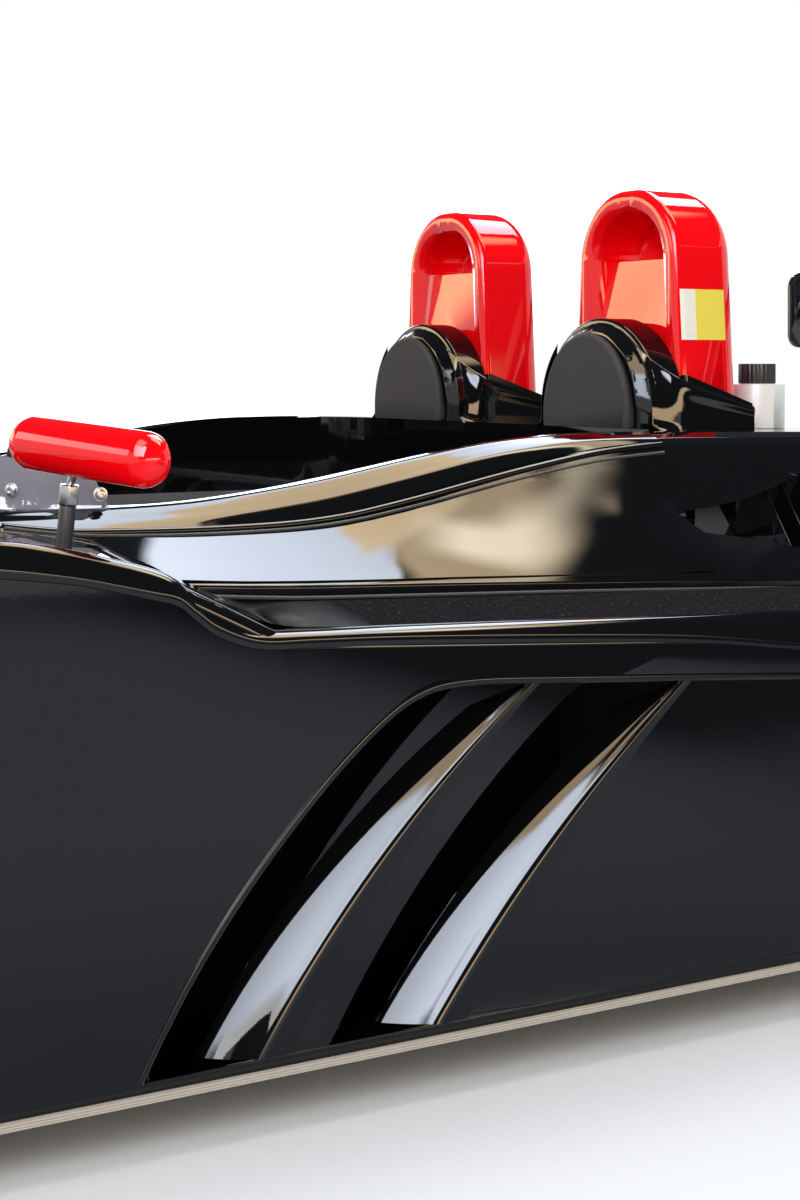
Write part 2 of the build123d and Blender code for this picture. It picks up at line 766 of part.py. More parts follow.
def tyre(x, y, radius, width):
    """Tyre with rounded shoulders, about a rim of fixed size."""
    bead = WHEEL_RIM_RADIUS + SEAM
    half = width / 2
    section = [
        (bead, -half + 10),
        (bead + 40, -half),
        (radius, -half),
        (radius, half),
        (bead + 40, half),
        (bead, half - 10),
    ]
    face = ring(Plane.XY, section, [0, 20, 22, 22, 20, 0])
    return Pos(x, y, radius) * revolve(face, Axis.Y)


def rim(x, y, radius, width, bore_radius):
    """Left wheel rim with eight spokes, hub and brake disc, bored for its spindle."""
    half = width / 2 - RIM_SET_IN
    well = WHEEL_RIM_RADIUS - RIM_WELL
    inside = WHEEL_RIM_RADIUS - RIM_WALL
    section = [
        (inside, -half), (WHEEL_RIM_RADIUS, -half), (WHEEL_RIM_RADIUS, -half + 30), (well, -half + 45),
        (well, 10), (WHEEL_RIM_RADIUS, 25), (WHEEL_RIM_RADIUS, half), (inside, half),
        (inside, 22), (well - RIM_WALL, 8), (well - RIM_WALL, -half + 42), (inside, -half + 28),
    ]
    barrel = revolve(make_face(Polyline(*section, close=True)), Axis.Y)
    face_y = half - SPOKE_SET_IN
    spokes = drum((0, face_y, 0), HUB_RADIUS, SPOKE_THICK)
    root = [(-17, 0), (17, 0), (11, inside + 3), (-11, inside + 3)]
    spoke = extrude(side(face_y + SPOKE_THICK / 2) * make_face(Polyline(*root, close=True)), SPOKE_THICK)
    for n in range(SPOKES):
        spokes += Rot(0, n * 360 / SPOKES, 0) * spoke
    disc = drum((0, DISC_OUT - half, 0), DISC_RADIUS, DISC_THICK / 2)
    inner_end = -half + HUB_SET_IN
    outer_end = half - 10
    stub = drum((0, (inner_end + outer_end) / 2, 0), STUB_RADIUS, (outer_end - inner_end) / 2)
    bore = drum((0, inner_end + SPINDLE_LENGTH / 2, 0), bore_radius, SPINDLE_LENGTH / 2)
    return Pos(x, y, radius) * (barrel + spokes + disc + stub - bore)


def stub_face_y(wheel_y, width):
    """Distance of a wheel hub's inner face from the middle of the car."""
    return wheel_y - (width / 2 - RIM_SET_IN) + HUB_SET_IN


def knuckle():
    """Left front upright with kingpin ends, wheel spindle and forked steering arm."""
    x, z = FRONT_AXLE_X, FRONT_TYRE_RADIUS
    face = stub_face_y(FRONT_WHEEL_Y, FRONT_TYRE_WIDTH) - RUNNING_GAP
    low = LOWER_ARM_Z + BALL_EYE_HALF + RUNNING_GAP
    high = UPPER_ARM_Z - BALL_EYE_HALF - RUNNING_GAP
    middle_y = face - UPRIGHT_THICK / 2
    shape = Pos(x, middle_y, (low + high) / 2) * Box(UPRIGHT_WIDTH, UPRIGHT_THICK, high - low)
    pin = 2 * BALL_EYE_HALF + RUNNING_GAP
    for root, way in ((low, -1), (high, 1)):
        middle_z = root + way * (pin - PIN_ROOT) / 2
        shape += Pos(x, KINGPIN_Y, middle_z) * Cylinder(KINGPIN_RADIUS, pin + PIN_ROOT)
    reach = RUNNING_GAP + SPINDLE_LENGTH - PIN_ROOT
    shape += drum((x, face + reach / 2, z), SPINDLE_RADIUS, reach / 2)
    inner = STEER_EYE_Y - STEER_ARM_WIDTH / 2
    heel = Box(UPRIGHT_WIDTH, face - inner, STEER_ARM_HEIGHT + 4)
    shape += Pos(x, (inner + face) / 2, STEER_ARM_Z) * heel
    arm_end = x + STEER_ARM - FORK_ROOT
    arm = Box(arm_end - x, STEER_ARM_WIDTH, STEER_ARM_HEIGHT)
    shape += Pos((x + arm_end) / 2, STEER_EYE_Y, STEER_ARM_Z) * arm
    start, tip = arm_end - PIN_ROOT, x + STEER_ARM + FORK_TIP
    for level in (-1, 1):
        height = STEER_ARM_Z + level * (FORK_GAP + FORK_PLATE / 2)
        plate = Box(tip - start, STEER_ARM_WIDTH + 6, FORK_PLATE)
        shape += Pos((start + tip) / 2, STEER_EYE_Y, height) * plate
    return shape


def front_wishbones():
    """Left front wishbones, each with an eye for the upright's pin, ending on the tub's flank."""
    shape = Part()
    for z, spread in ((LOWER_ARM_Z, LOWER_SPREAD), (UPPER_ARM_Z, UPPER_SPREAD)):
        ball = (FRONT_AXLE_X, KINGPIN_Y, z)
        arm = Pos(*ball) * Cylinder(BALL_EYE_RADIUS, 2 * BALL_EYE_HALF)
        for step in (-1, 1):
            arm += bar((FRONT_AXLE_X + step * spread, TUB_NOSE_HALF - ARM_SINK, z), ball, WISHBONE_TUBE)
        shape += arm - Pos(*ball) * Cylinder(KINGPIN_RADIUS + PIN_CLEARANCE, 4 * BALL_EYE_HALF)
    return shape - tub_volume(0, 0)


def rack_x():
    return FRONT_AXLE_X + STEER_ARM


def rack_bar():
    """Steering rack with its two tie rods."""
    end = STEER_EYE_Y - TIE_ROD_EYE_RADIUS / 2
    shape = bar((rack_x(), -end, STEER_ARM_Z), (rack_x(), end, STEER_ARM_Z), TIE_ROD_RADIUS)
    for sign in (-1, 1):
        shape += Pos(rack_x(), sign * STEER_EYE_Y, STEER_ARM_Z) * Cylinder(TIE_ROD_EYE_RADIUS, 2 * TIE_ROD_EYE_HALF)
    return shape


def rack_housing():
    """Tube round the rack with two feet on the tub's nose."""
    shape = drum((rack_x(), 0, STEER_ARM_Z), RACK_HOUSING_RADIUS, RACK_HOUSING_HALF)
    length = rack_x() - TUB_NOSE_X
    for sign in (-1, 1):
        shape += Pos(rack_x() - length / 2, sign * RACK_FOOT_Y, STEER_ARM_Z) * Box(length, *RACK_FOOT)
    return shape - drum((rack_x(), 0, STEER_ARM_Z), TIE_ROD_RADIUS + PIN_CLEARANCE, RACK_HOUSING_HALF + 1)


def column_plane(distance):
    """Plane across the steering column, with local y up."""
    tilt = radians(COLUMN_TILT)
    return Plane(origin=column_point(distance), x_dir=(0, 1, 0), z_dir=(cos(tilt), 0, -sin(tilt)))


def steering_wheel():
    """Steering wheel with three spokes, its hub and the column shaft."""
    grip = column_plane(0) * Torus(STEERING_WHEEL_RADIUS, GRIP_RADIUS)
    shape = grip + extrude(column_plane(-STEERING_HUB_DEPTH / 4) * Circle(STEERING_HUB_RADIUS), STEERING_HUB_DEPTH)
    for turn in (0, 180, 270):
        spoke = Pos(STEERING_WHEEL_RADIUS / 2, 0, 4) * Box(STEERING_WHEEL_RADIUS, *STEERING_SPOKE)
        shape += column_plane(0) * Rot(0, 0, turn) * spoke
    end = (rack_x() - RACK_HOUSING_RADIUS - RUNNING_GAP - STEERING_WHEEL_X) / cos(radians(COLUMN_TILT))
    return shape + bar(column_point(PIN_ROOT), column_point(end), COLUMN_RADIUS)


def column_tube():
    """Bearing tube of the steering column, hung from the scuttle."""
    shape = bar(column_point(COLUMN_TUBE_START), column_point(COLUMN_TUBE_END), COLUMN_TUBE_RADIUS)
    x, y, z = column_point(COLUMN_BRACKET)
    ceiling = TUB_TOP - TUB_WALL
    shape += Pos(x, y, (z + ceiling) / 2) * Box(40, 30, ceiling - z)
    shape -= tub_volume(0, 0) - tub_volume(TUB_WALL, 100)
    return shape - bar(column_point(0), column_point(COLUMN_HOLE_END), COLUMN_RADIUS + PIN_CLEARANCE)


def engine():
    """Engine block at its real place and size."""
    low = FLOOR_TOP + ENGINE_LIFT
    middle = Pos((TUB_REAR_X + ENGINE_REAR_X) / 2, 0, (low + ENGINE_TOP) / 2)
    return middle * Box(TUB_REAR_X - ENGINE_REAR_X, 2 * ENGINE_HALF, ENGINE_TOP - low)


def mount_plates():
    """Two plates across the gearbox that carry the rear wishbones."""
    plates = Part()
    for step in (-1, 1):
        plate = Box(MOUNT_PLATE, 2 * MOUNT_PLATE_HALF, MOUNT_PLATE_HEIGHT)
        plates += Pos(REAR_AXLE_X + step * MOUNT_PLATE_STEP, 0, MOUNT_PLATE_Z) * plate
    return plates


def gearbox():
    """Gearbox with driveshaft bosses and the plates that carry the rear wishbones."""
    case = Box(ENGINE_REAR_X - GEARBOX_REAR_X, 2 * GEARBOX_HALF, GEARBOX_HEIGHT)
    shape = Pos((ENGINE_REAR_X + GEARBOX_REAR_X) / 2, 0, GEARBOX_Z) * case
    boss_end = GEARBOX_HALF + BOSS_LENGTH
    shape += drum((REAR_AXLE_X, 0, REAR_TYRE_RADIUS), BOSS_RADIUS, boss_end) + mount_plates()
    for sign in (-1, 1):
        mouth = (REAR_AXLE_X, sign * boss_end, REAR_TYRE_RADIUS)
        shape -= drum(mouth, DRIVESHAFT_RADIUS + PIN_CLEARANCE, SHAFT_IN_BOSS + RUNNING_GAP)
    return shape


def rear_suspension():
    """Left rear wishbones with the upright that carries the wheel."""
    face = stub_face_y(REAR_WHEEL_Y, REAR_TYRE_WIDTH) - RUNNING_GAP
    middle = face - UPRIGHT_THICK / 2
    shape = Pos(REAR_AXLE_X, middle, (LOWER_ARM_Z + UPPER_ARM_Z) / 2)
    shape = shape * Box(UPRIGHT_WIDTH + 20, UPRIGHT_THICK, UPPER_ARM_Z - LOWER_ARM_Z + 20)
    for z in (LOWER_ARM_Z, UPPER_ARM_Z):
        for step in (-1, 1):
            root = (REAR_AXLE_X + step * REAR_SPREAD, MOUNT_PLATE_HALF - ARM_SINK / 2, z)
            shape += bar(root, (REAR_AXLE_X, middle, z), WISHBONE_TUBE)
    shape -= Pos(REAR_AXLE_X, 0, MOUNT_PLATE_Z) * Box(5 * REAR_SPREAD, 2 * MOUNT_PLATE_HALF, 2 * MOUNT_PLATE_HEIGHT)
    return shape - drum((REAR_AXLE_X, middle, REAR_TYRE_RADIUS), DRIVESHAFT_RADIUS + PIN_CLEARANCE, 60)


def driveshaft():
    """Left driveshaft from the gearbox boss to the wheel hub."""
    start = GEARBOX_HALF + BOSS_LENGTH - SHAFT_IN_BOSS
    end = stub_face_y(REAR_WHEEL_Y, REAR_TYRE_WIDTH) + SPINDLE_LENGTH
    return drum((REAR_AXLE_X, (start + end) / 2, REAR_TYRE_RADIUS), DRIVESHAFT_RADIUS, (end - start) / 2)


def diffuser():
    """Rising floor behind the axle with four strakes."""
    profile = [
        (DIFFUSER_FRONT_X, FLOOR_Z),
        (DIFFUSER_FRONT_X, FLOOR_TOP),
        (DIFFUSER_REAR_X, DIFFUSER_EXIT_Z),
        (DIFFUSER_REAR_X, DIFFUSER_EXIT_Z - SKIN),
    ]
    shape = extrude(side(DIFFUSER_HALF) * make_face(Polyline(*profile, close=True)), 2 * DIFFUSER_HALF)
    strake = [
        (DIFFUSER_FRONT_X - ARM_SINK, FLOOR_Z + SKIN),
        (DIFFUSER_REAR_X, DIFFUSER_EXIT_Z - SKIN / 2),
        (DIFFUSER_REAR_X, STRAKE_LOW_Z),
        (STRAKE_BEND_X, FLOOR_Z + SKIN),
    ]
    for y in (-DIFFUSER_HALF + SKIN, -STRAKE_Y, STRAKE_Y + SKIN, DIFFUSER_HALF):
        shape += extrude(side(y) * make_face(Polyline(*strake, close=True)), SKIN)
    return shape


def exhaust():
    """Tail pipe from behind the gearbox out through the tail."""
    start = (REAR_AXLE_X - MOUNT_PLATE_STEP - MOUNT_PLATE / 2, EXHAUST_Y, EXHAUST_Z)
    tip = (TAIL_X - EXHAUST_OUT, EXHAUST_Y, EXHAUST_Z)
    mouth = (start[0] - EXHAUST_OUT, EXHAUST_Y, EXHAUST_Z)
    return bar(start, tip, EXHAUST_RADIUS) - bar(mouth, tip, EXHAUST_RADIUS - EXHAUST_WALL)


def screen_plan(inset):
    """Plan of the screen's curve, moved inwards by inset."""
    reach = SCREEN_FRONT_X - SCREEN_REAR_X - inset
    return Pos(SCREEN_REAR_X, 0) * Ellipse(reach, SCREEN_HALF - inset)


def windscreen():
    """Low wrap-round screen on the scuttle, with sloping ends."""
    band = extrude(screen_plan(0), FLANK_Y) - extrude(screen_plan(SCREEN_THICK), FLANK_Y)
    profile = [
        (SCREEN_REAR_X, SCREEN_LOW_Z),
        (SCREEN_REAR_X, SCREEN_HEEL_Z),
        (SCREEN_REAR_X + SCREEN_HEEL, SCREEN_END_Z),
        (SCREEN_FRONT_X + 1, SCREEN_TOP_Z),
        (SCREEN_FRONT_X + 1, SCREEN_LOW_Z),
    ]
    keep = extrude(side(FLANK_Y) * make_face(Polyline(*profile, close=True)), 2 * FLANK_Y)
    return (band & keep) - surround_loft(-SEAM)


def mirror_pod():
    """Left mirror pod on its stalk."""
    reach = MIRROR_HALF - MIRROR_RADIUS
    pod = drum((0, 0, 0), MIRROR_RADIUS, reach)
    for sign in (-1, 1):
        pod += Pos(0, sign * reach, 0) * Sphere(MIRROR_RADIUS)
    pod = Pos(MIRROR_X, MIRROR_Y, MIRROR_Z) * Rot(-MIRROR_DROOP, 0, 0) * pod
    foot = (MIRROR_X, MIRROR_STALK_Y - MIRROR_STALK_LEAN, MIRROR_STALK_LOW_Z)
    stalk = bar(foot, (MIRROR_X, MIRROR_STALK_Y + MIRROR_STALK_LEAN, MIRROR_Z), MIRROR_STALK_RADIUS)
    return pod + stalk - surround_loft(-SEAM) - side_volume(-SEAM)


def bottle():
    """Catch bottle that stands up through the deck behind the left seat."""
    ground = Pos(BOTTLE_X, BOTTLE_Y, 0)
    body = ground * extrude(Pos(0, 0, BOTTLE_LOW_Z) * Circle(BOTTLE_RADIUS), BOTTLE_SHOULDER_Z - BOTTLE_LOW_Z)
    cap_height = BOTTLE_TOP_Z - BOTTLE_SHOULDER_Z
    cap = ground * extrude(Pos(0, 0, BOTTLE_SHOULDER_Z) * Circle(BOTTLE_CAP_RADIUS), cap_height)
    return body + cap - surround_loft(-SEAM)


def pylon():
    """Left wing pylon from the rear deck to the wing."""
    front = WING_REAR_X + FLAP_CHORD + WING_CHORD - PYLON_SET_BACK
    head = front - PYLON_SET_BACK
    top = WING_Z - WING_BELLY / 2
    profile = [(front, PYLON_FOOT_Z), (front - PYLON_FOOT, PYLON_FOOT_Z), (head - PYLON_HEAD, top), (head, top)]
    plate = extrude(side(PYLON_Y + PYLON_THICK / 2) * make_face(Polyline(*profile, close=True)), PYLON_THICK)
    return plate - body_loft(REAR_ROWS, -SEAM) - wing_plane()


def nose_mouth():
    """Air intake low in the middle of the nose."""
    low, high = MOUTH_Z
    middle = Pos(HALF_LENGTH - MOUTH_DEPTH / 2, 0, (low + high) / 2)
    return middle * Box(MOUTH_DEPTH, 2 * MOUTH_HALF, high - low)


def tow_eye():
    """Towing eye behind the tail, on its flange."""
    outer = TOW_EYE_RADIUS + TOW_EYE_WALL
    eye_x = -HALF_LENGTH + outer
    face_x = TAIL_X
    flange = Pos(face_x - TOW_FLANGE / 2, TOW_EYE_Y, TOW_EYE_Z) * Box(TOW_FLANGE, 4 * outer, 3 * outer)
    plate_x = (face_x + eye_x) / 2
    plate = Pos(plate_x, TOW_EYE_Y, TOW_EYE_Z) * Box(face_x - eye_x, TOW_EYE_THICK, 2 * outer)
    plate += drum((eye_x, TOW_EYE_Y, TOW_EYE_Z), outer, TOW_EYE_THICK / 2)
    return flange + plate - drum((eye_x, TOW_EYE_Y, TOW_EYE_Z), TOW_EYE_RADIUS, TOW_EYE_THICK)


def headlamp_cut(grow):
    """Elliptical plug through the front wing's nose."""
    half_y, half_z = HEADLAMP_HALF
    face = Pos(LAMP_Y, HEADLAMP_Z) * Ellipse(half_y + grow, half_z + grow)
    return extrude(across(HEADLAMP_REAR_X) * face, HEADLAMP_REACH)


def tail_lamp_cut(grow):
    """Round plug through the tail wall."""
    face = Pos(LAMP_Y, TAIL_LAMP_Z) * Circle(TAIL_LAMP_RADIUS + grow)
    return extrude(across(TAIL_X - TAIL_LAMP_REACH / 3) * face, TAIL_LAMP_REACH)


def airfoil(nose, tail, rise, belly):
    """Side view of a wing element between its nose and tail points, bulged up and down."""
    middle_x, middle_z = (nose[0] + tail[0]) / 2, (nose[1] + tail[1]) / 2
    over = ThreePointArc(nose, (middle_x, middle_z + rise), tail)
    under = ThreePointArc(tail, (middle_x, middle_z - belly), nose)
    return make_face([over, under])


def wing_plane():
    """Main wing element with a flap behind it, between two end plates."""
    flap_tail = (WING_REAR_X + 4, WING_Z + FLAP_RISE)
    flap_nose = (WING_REAR_X + FLAP_CHORD, WING_Z + FLAP_RISE / 3)
    tail = (flap_nose[0] + WING_SLOT, WING_Z + 10)
    nose = (tail[0] + WING_CHORD, WING_Z)
    shape = extrude(side(WING_HALF_SPAN) * airfoil(nose, tail, -WING_HOLLOW, WING_BELLY), 2 * WING_HALF_SPAN)
    shape += extrude(side(WING_HALF_SPAN) * airfoil(flap_nose, flap_tail, -4, 14), 2 * WING_HALF_SPAN)
    plate = [
        (WING_REAR_X, WING_Z - 60),
        (WING_REAR_X, WING_Z + FLAP_RISE + 12),
        (nose[0] + 30, WING_Z + 50),
        (nose[0] + 30, WING_Z - 120),
        (WING_REAR_X + 90, WING_Z - 120),
    ]
    end = extrude(ring(side(WING_HALF_SPAN + ENDPLATE_THICK), plate, [20, 20, 40, 30, 40]), ENDPLATE_THICK)
    return shape + end + sideways(end)


def write_pair(name, shape):
    """Write a left piece and its mirror image."""
    write(name + "_left", shape)
    write(name + "_right", sideways(shape))


def write_bodywork():
    front = front_clam()
    lens = front & headlamp_cut(-SEAM)
    write("headlamps", lens + sideways(lens))
    front -= arch(FRONT_AXLE_X, FRONT_ARCH_RADIUS, FRONT_TYRE_RADIUS)
    write("front_clam", front - nose_mouth() - headlamp_cut(0) - sideways(headlamp_cut(0)))
    rear = rear_clam()
    lens = rear & tail_lamp_cut(-SEAM)
    write("tail_lamps", lens + sideways(lens))
    rear -= arch(REAR_AXLE_X, REAR_ARCH_RADIUS, REAR_TYRE_RADIUS)
    ahead, behind = TAIL_X + EXHAUST_RADIUS, TAIL_X - EXHAUST_RADIUS
    rear -= bar((ahead, EXHAUST_Y, EXHAUST_Z), (behind, EXHAUST_Y, EXHAUST_Z), EXHAUST_RADIUS + SEAM)
    write("rear_clam", rear - tail_lamp_cut(0) - sideways(tail_lamp_cut(0)))
    write_pair("side_panel", side_panel())
    write("surround", surround())


def write_wheels():
    front = (FRONT_AXLE_X, FRONT_WHEEL_Y, FRONT_TYRE_RADIUS, FRONT_TYRE_WIDTH)
    rear = (REAR_AXLE_X, REAR_WHEEL_Y, REAR_TYRE_RADIUS, REAR_TYRE_WIDTH)
    write_pair("tyre_front", tyre(*front))
    write_pair("tyre_rear", tyre(*rear))
    write_pair("rim_front", rim(*front, SPINDLE_RADIUS + PIN_CLEARANCE))
    write_pair("rim_rear", rim(*rear, DRIVESHAFT_RADIUS + SHAFT_FIT))


def main():
    os.makedirs("parts", exist_ok=True)
    write("floor_board", floor_board())
    write("tub", tub())
    write_bodywork()
    write_wheels()
    pairs = (
        ("hoop_cover", hoop_cover),
        ("hood", hood),
        ("pad", pad),
        ("seat", seat),
        ("mirror", mirror_pod),
        ("knuckle", knuckle),
        ("front_wishbones", front_wishbones),
        ("rear_suspension", rear_suspension),
        ("driveshaft", driveshaft),
    )
    for name, maker in pairs:
        write_pair(name, maker())
    singles = (
        ("windscreen", windscreen),
        ("bottle", bottle),
        ("steering_wheel", steering_wheel),
        ("column_tube", column_tube),
        ("rack_bar", rack_bar),
        ("rack_housing", rack_housing),
        ("engine", engine),
        ("gearbox", gearbox),
        ("diffuser", diffuser),
        ("exhaust", exhaust),
        ("tow_eye", tow_eye),
        ("rear_wing", wing_plane),
    )
    for name, maker in singles:
        write(name, maker())
    plate = pylon()
    write("wing_pylons", plate + sideways(plate))


main()
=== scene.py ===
import json
import math

import bpy
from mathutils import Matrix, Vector
from mathutils.bvhtree import BVHTree

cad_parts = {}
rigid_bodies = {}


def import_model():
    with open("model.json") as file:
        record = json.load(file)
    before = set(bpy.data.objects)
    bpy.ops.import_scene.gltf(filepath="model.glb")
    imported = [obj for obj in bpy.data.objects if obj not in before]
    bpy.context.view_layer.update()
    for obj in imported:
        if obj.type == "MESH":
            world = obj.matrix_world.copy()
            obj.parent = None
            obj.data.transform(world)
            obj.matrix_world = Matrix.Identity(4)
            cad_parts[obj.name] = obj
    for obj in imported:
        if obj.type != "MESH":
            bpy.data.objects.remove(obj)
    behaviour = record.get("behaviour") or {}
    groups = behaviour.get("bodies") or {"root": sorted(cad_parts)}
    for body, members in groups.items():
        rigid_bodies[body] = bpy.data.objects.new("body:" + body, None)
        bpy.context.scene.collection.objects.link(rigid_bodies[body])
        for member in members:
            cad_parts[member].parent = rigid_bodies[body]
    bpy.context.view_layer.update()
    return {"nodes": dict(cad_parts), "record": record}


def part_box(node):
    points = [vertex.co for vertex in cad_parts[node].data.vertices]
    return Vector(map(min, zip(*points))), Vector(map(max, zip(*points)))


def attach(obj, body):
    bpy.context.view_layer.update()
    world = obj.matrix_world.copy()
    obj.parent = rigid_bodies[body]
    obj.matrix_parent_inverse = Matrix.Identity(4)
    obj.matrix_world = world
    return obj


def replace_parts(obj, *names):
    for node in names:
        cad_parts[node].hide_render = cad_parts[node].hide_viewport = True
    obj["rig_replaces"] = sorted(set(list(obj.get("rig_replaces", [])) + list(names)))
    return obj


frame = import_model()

bl_info = {
    "name": "Sports Racer Dresser",
    "version": (1, 0, 0),
    "blender": (4, 5, 0),
    "location": "3D View > Sidebar > Sports Racer",
    "description": "Dresses a two-seat open sports racing car with its finishes and fittings",
    "category": "Object",
}

MM = 0.001

# From the record: its material slots, and each node's slot and body
SLOT_OF = {row["node"]: row["material_slot"] for row in frame["record"]["subparts"]}
BODY_OF = {node: body for body, nodes in frame["record"]["behaviour"]["bodies"].items() for node in nodes}

# From the frame: the left flank's face and the left seat's middle. All places here are in metres.
FLANK_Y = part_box("side_panel_left")[1].y
SEAT_Y = sum(corner.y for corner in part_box("seat_left")) / 2

# How far off a surface the search for a point on it starts, and the y beyond the car's side, from
# which a search runs inwards as far as the reach
TOUCH_REACH = 0.06
OUTSIDE_Y, OUTSIDE_REACH = 0.95, 0.6

# Rolled edge of the flank: x, then z of its crest, its outer bulge and its lower step
BEAD_ROWS = (
    (0.858, 0.6215, 0.612, 0.603), (0.830, 0.634, 0.614, 0.603), (0.780, 0.633, 0.609, 0.597),
    (0.734, 0.626, 0.602, 0.591), (0.692, 0.617, 0.594, 0.584), (0.628, 0.600, 0.579, 0.568),
    (0.597, 0.588, 0.571, 0.559), (0.578, 0.572, 0.557, 0.544), (0.550, 0.545, 0.537, 0.524),
    (0.504, 0.528, 0.520, 0.509), (0.440, 0.524, 0.517, 0.506), (0.335, 0.521, 0.513, 0.502),
    (0.164, 0.515, 0.503, 0.492), (-0.013, 0.508, 0.491, 0.480), (-0.120, 0.504, 0.481, 0.470),
    (-0.238, 0.501, 0.466, 0.455), (-0.360, 0.490, 0.455, 0.444), (-0.520, 0.468, 0.445, 0.434),
    (-0.698, 0.440, 0.430, 0.420))
# Its y at the inner foot and at the crest, how far its bulge stands out and its shoulder lies in,
# and its foot's most height over the step and its depth below that
BEAD_FOOT_Y, BEAD_CREST_Y = 0.757, 0.783
BEAD_OUT, BEAD_SHOULDER = 0.0025, 0.0055
BEAD_FOOT_RISE, BEAD_FOOT_DROP = 0.018, 0.004

# Line round the vents, x and z of its control points, and how deep in the flank its lip's middle lies
FIELD_ROUTE = (
    (0.639, 0.081), (0.602, 0.150), (0.530, 0.251), (0.440, 0.349), (0.372, 0.409), (0.318, 0.445),
    (0.258, 0.457), (0.10, 0.446), (-0.30, 0.4185), (-0.698, 0.391))
LIP_DEPTH = 0.0052
# Foot of the slope beside the cockpit, x and z of its control points, and its y
JOINT_ROUTE = (
    (0.50, 0.549), (0.41, 0.541), (0.299, 0.5365), (0.024, 0.5265), (-0.163, 0.5185), (-0.365, 0.509),
    (-0.698, 0.4945))
JOINT_Y = 0.6575

# Ledge beside the slope: the lines that its skin runs along, its ends and the step between stations
LEDGE_LINES = (0.6595, 0.675, 0.690, 0.705, 0.720, 0.735, 0.750, 0.762)
LEDGE_FRONT_X, LEDGE_REAR_X, LEDGE_STEP = 0.70, -0.692, 0.008
# Stations that even it out and that lift it from below the panel, the search down on the panels,
# and how far its skin lies under them in front and over them behind
LEDGE_EASE, LEDGE_FADE = 4, 8
LEDGE_TOP_Z, LEDGE_REACH = 0.72, 0.4
LEDGE_SINK, LEDGE_LIFT = 0.001, 0.0008
# Where its dust begins and where it is full, in x
DUST_X = (0.50, 0.34)

# Label on the near hoop's side: x from front to rear, z, a y near its surface, and its film
LABEL_X = (-0.389, -0.416, -0.470)
LABEL_Z = (0.841, 0.915)
LABEL_Y, LABEL_LIFT, LABEL_WALL = 0.375, 0.0007, 0.0003
LABEL_COLUMNS, LABEL_LEVELS = 8, 6

# Cheek on the hood's side: its ends in x, its top's z at the crown, at the bend and at the tail,
# its foot, and its inner and outer y
FAIRING_X = (-0.326, -0.5045)
FAIRING_TOP_Z = (0.836, 0.799, 0.748)
FAIRING_FOOT_Z = 0.709
FAIRING_Y = (0.3945, 0.4085)
# Where the hood is still round, and the shares of the cheek's length on which it leaves the round
# side, on which its crown falls, by which power, and on which its middle swells
FAIRING_ROUND_X, FAIRING_STATIONS = -0.345, 24
FAIRING_START, FAIRING_CROWN, FAIRING_HOLLOW, FAIRING_SWELL = 0.24, 0.32, 2.2, 0.2
# How its outer edge leans, lies below its top and holds back in the middle, and sinks in the hood
FAIRING_LEAN, FAIRING_EDGE, FAIRING_WAIST, FAIRING_SINK = 1.25, 0.006, 0.011, 0.002

# Headlamps behind the left lens: the middle of each front, and the turned parts in each: name,
# start and end from there along x, radius and finish
LAMP_PLACES = ((1.800, 0.598, 0.384), (1.783, 0.668, 0.384))
LAMP_PARTS = (("bowl", -0.05, 0.0, 0.028, "black_void"), ("eye", -0.01, 0.004, 0.021, "mirror_glass"))

# Screws on the screen's left end, x and z
SCREEN_SCREWS = ((0.572, 0.657), (0.660, 0.662))

# Bottle's axis, and its cap: radius, foot, top, sides, and the share of its radius at every third corner
BOTTLE_PLACE = (-0.605, 0.298)
CAP_RADIUS, CAP_FOOT_Z, CAP_TOP_Z = 0.0285, 0.776, 0.8065
CAP_SIDES, CAP_GROOVE = 72, 0.955

# Wheels: axle x and tyre radius, the nuts' number, and for nut and valve the distance from the
# axle, how far it sinks in and stands out, its radius, sides and edge
AXLES = {"front": (1.250, 0.275), "rear": (-1.200, 0.288)}
NUT_COUNT = 4
NUT = (0.050, 0.002, 0.014, 0.0095, 6, 0.0012)
VALVE = (0.118, 0.003, 0.018, 0.004, 12, 0.0008)

# Flank vents, x and z: the ramp's front edge and its crease, each an arc through three points
VENT_LEAD = ((0.557, 0.081), (0.426, 0.251), (0.216, 0.419))
VENT_CREASE = ((0.502, 0.081), (0.375, 0.251), (0.155, 0.449))
# Their number, how far each lies behind and below the one before, their depth and the field's
VENT_COUNT, VENT_PITCH, VENT_DROP = 2, 0.218, 0.015
VENT_DEPTH, VENT_RECESS = 0.042, 0.003
# Ramp's skin and its wall, the round of its crease, its run out into the flank and the tuck at its
# end, and how far the middle of its face stands out
RAMP_SKIN, RAMP_WALL, RAMP_CROWN = 0.002, 0.0015, 0.0022
RAMP_ROUND, RAMP_RUN_OUT, RAMP_TUCK = 0.010, 0.032, 0.0003
# The share of its height from which it closes, by which power, and how much of its width and depth goes
RAMP_CLOSE, RAMP_EASE, RAMP_NARROW, RAMP_SHALLOW = 0.55, 1.6, 0.72, 0.90
# Steps along it, and across its face, its crease and its run out
RAMP_ROWS, RAMP_FACE, RAMP_TURN, RAMP_RUN = 72, 10, 10, 6

# Slope beside the cockpit: x, then y and z of its head and z of its foot
SLOPE_ROWS = (
    (0.700, 0.566, 0.6275, 0.6165), (0.640, 0.566, 0.6185, 0.607),
    (0.585, 0.566, 0.616, 0.569), (0.450, 0.564, 0.613, 0.558), (0.299, 0.562, 0.616, 0.550),
    (0.170, 0.555, 0.637, 0.545), (0.049, 0.548, 0.661, 0.539), (-0.060, 0.543, 0.680, 0.534),
    (-0.151, 0.539, 0.693, 0.530), (-0.230, 0.536, 0.697, 0.526))
SLOPE_FOOT_Y = 0.655
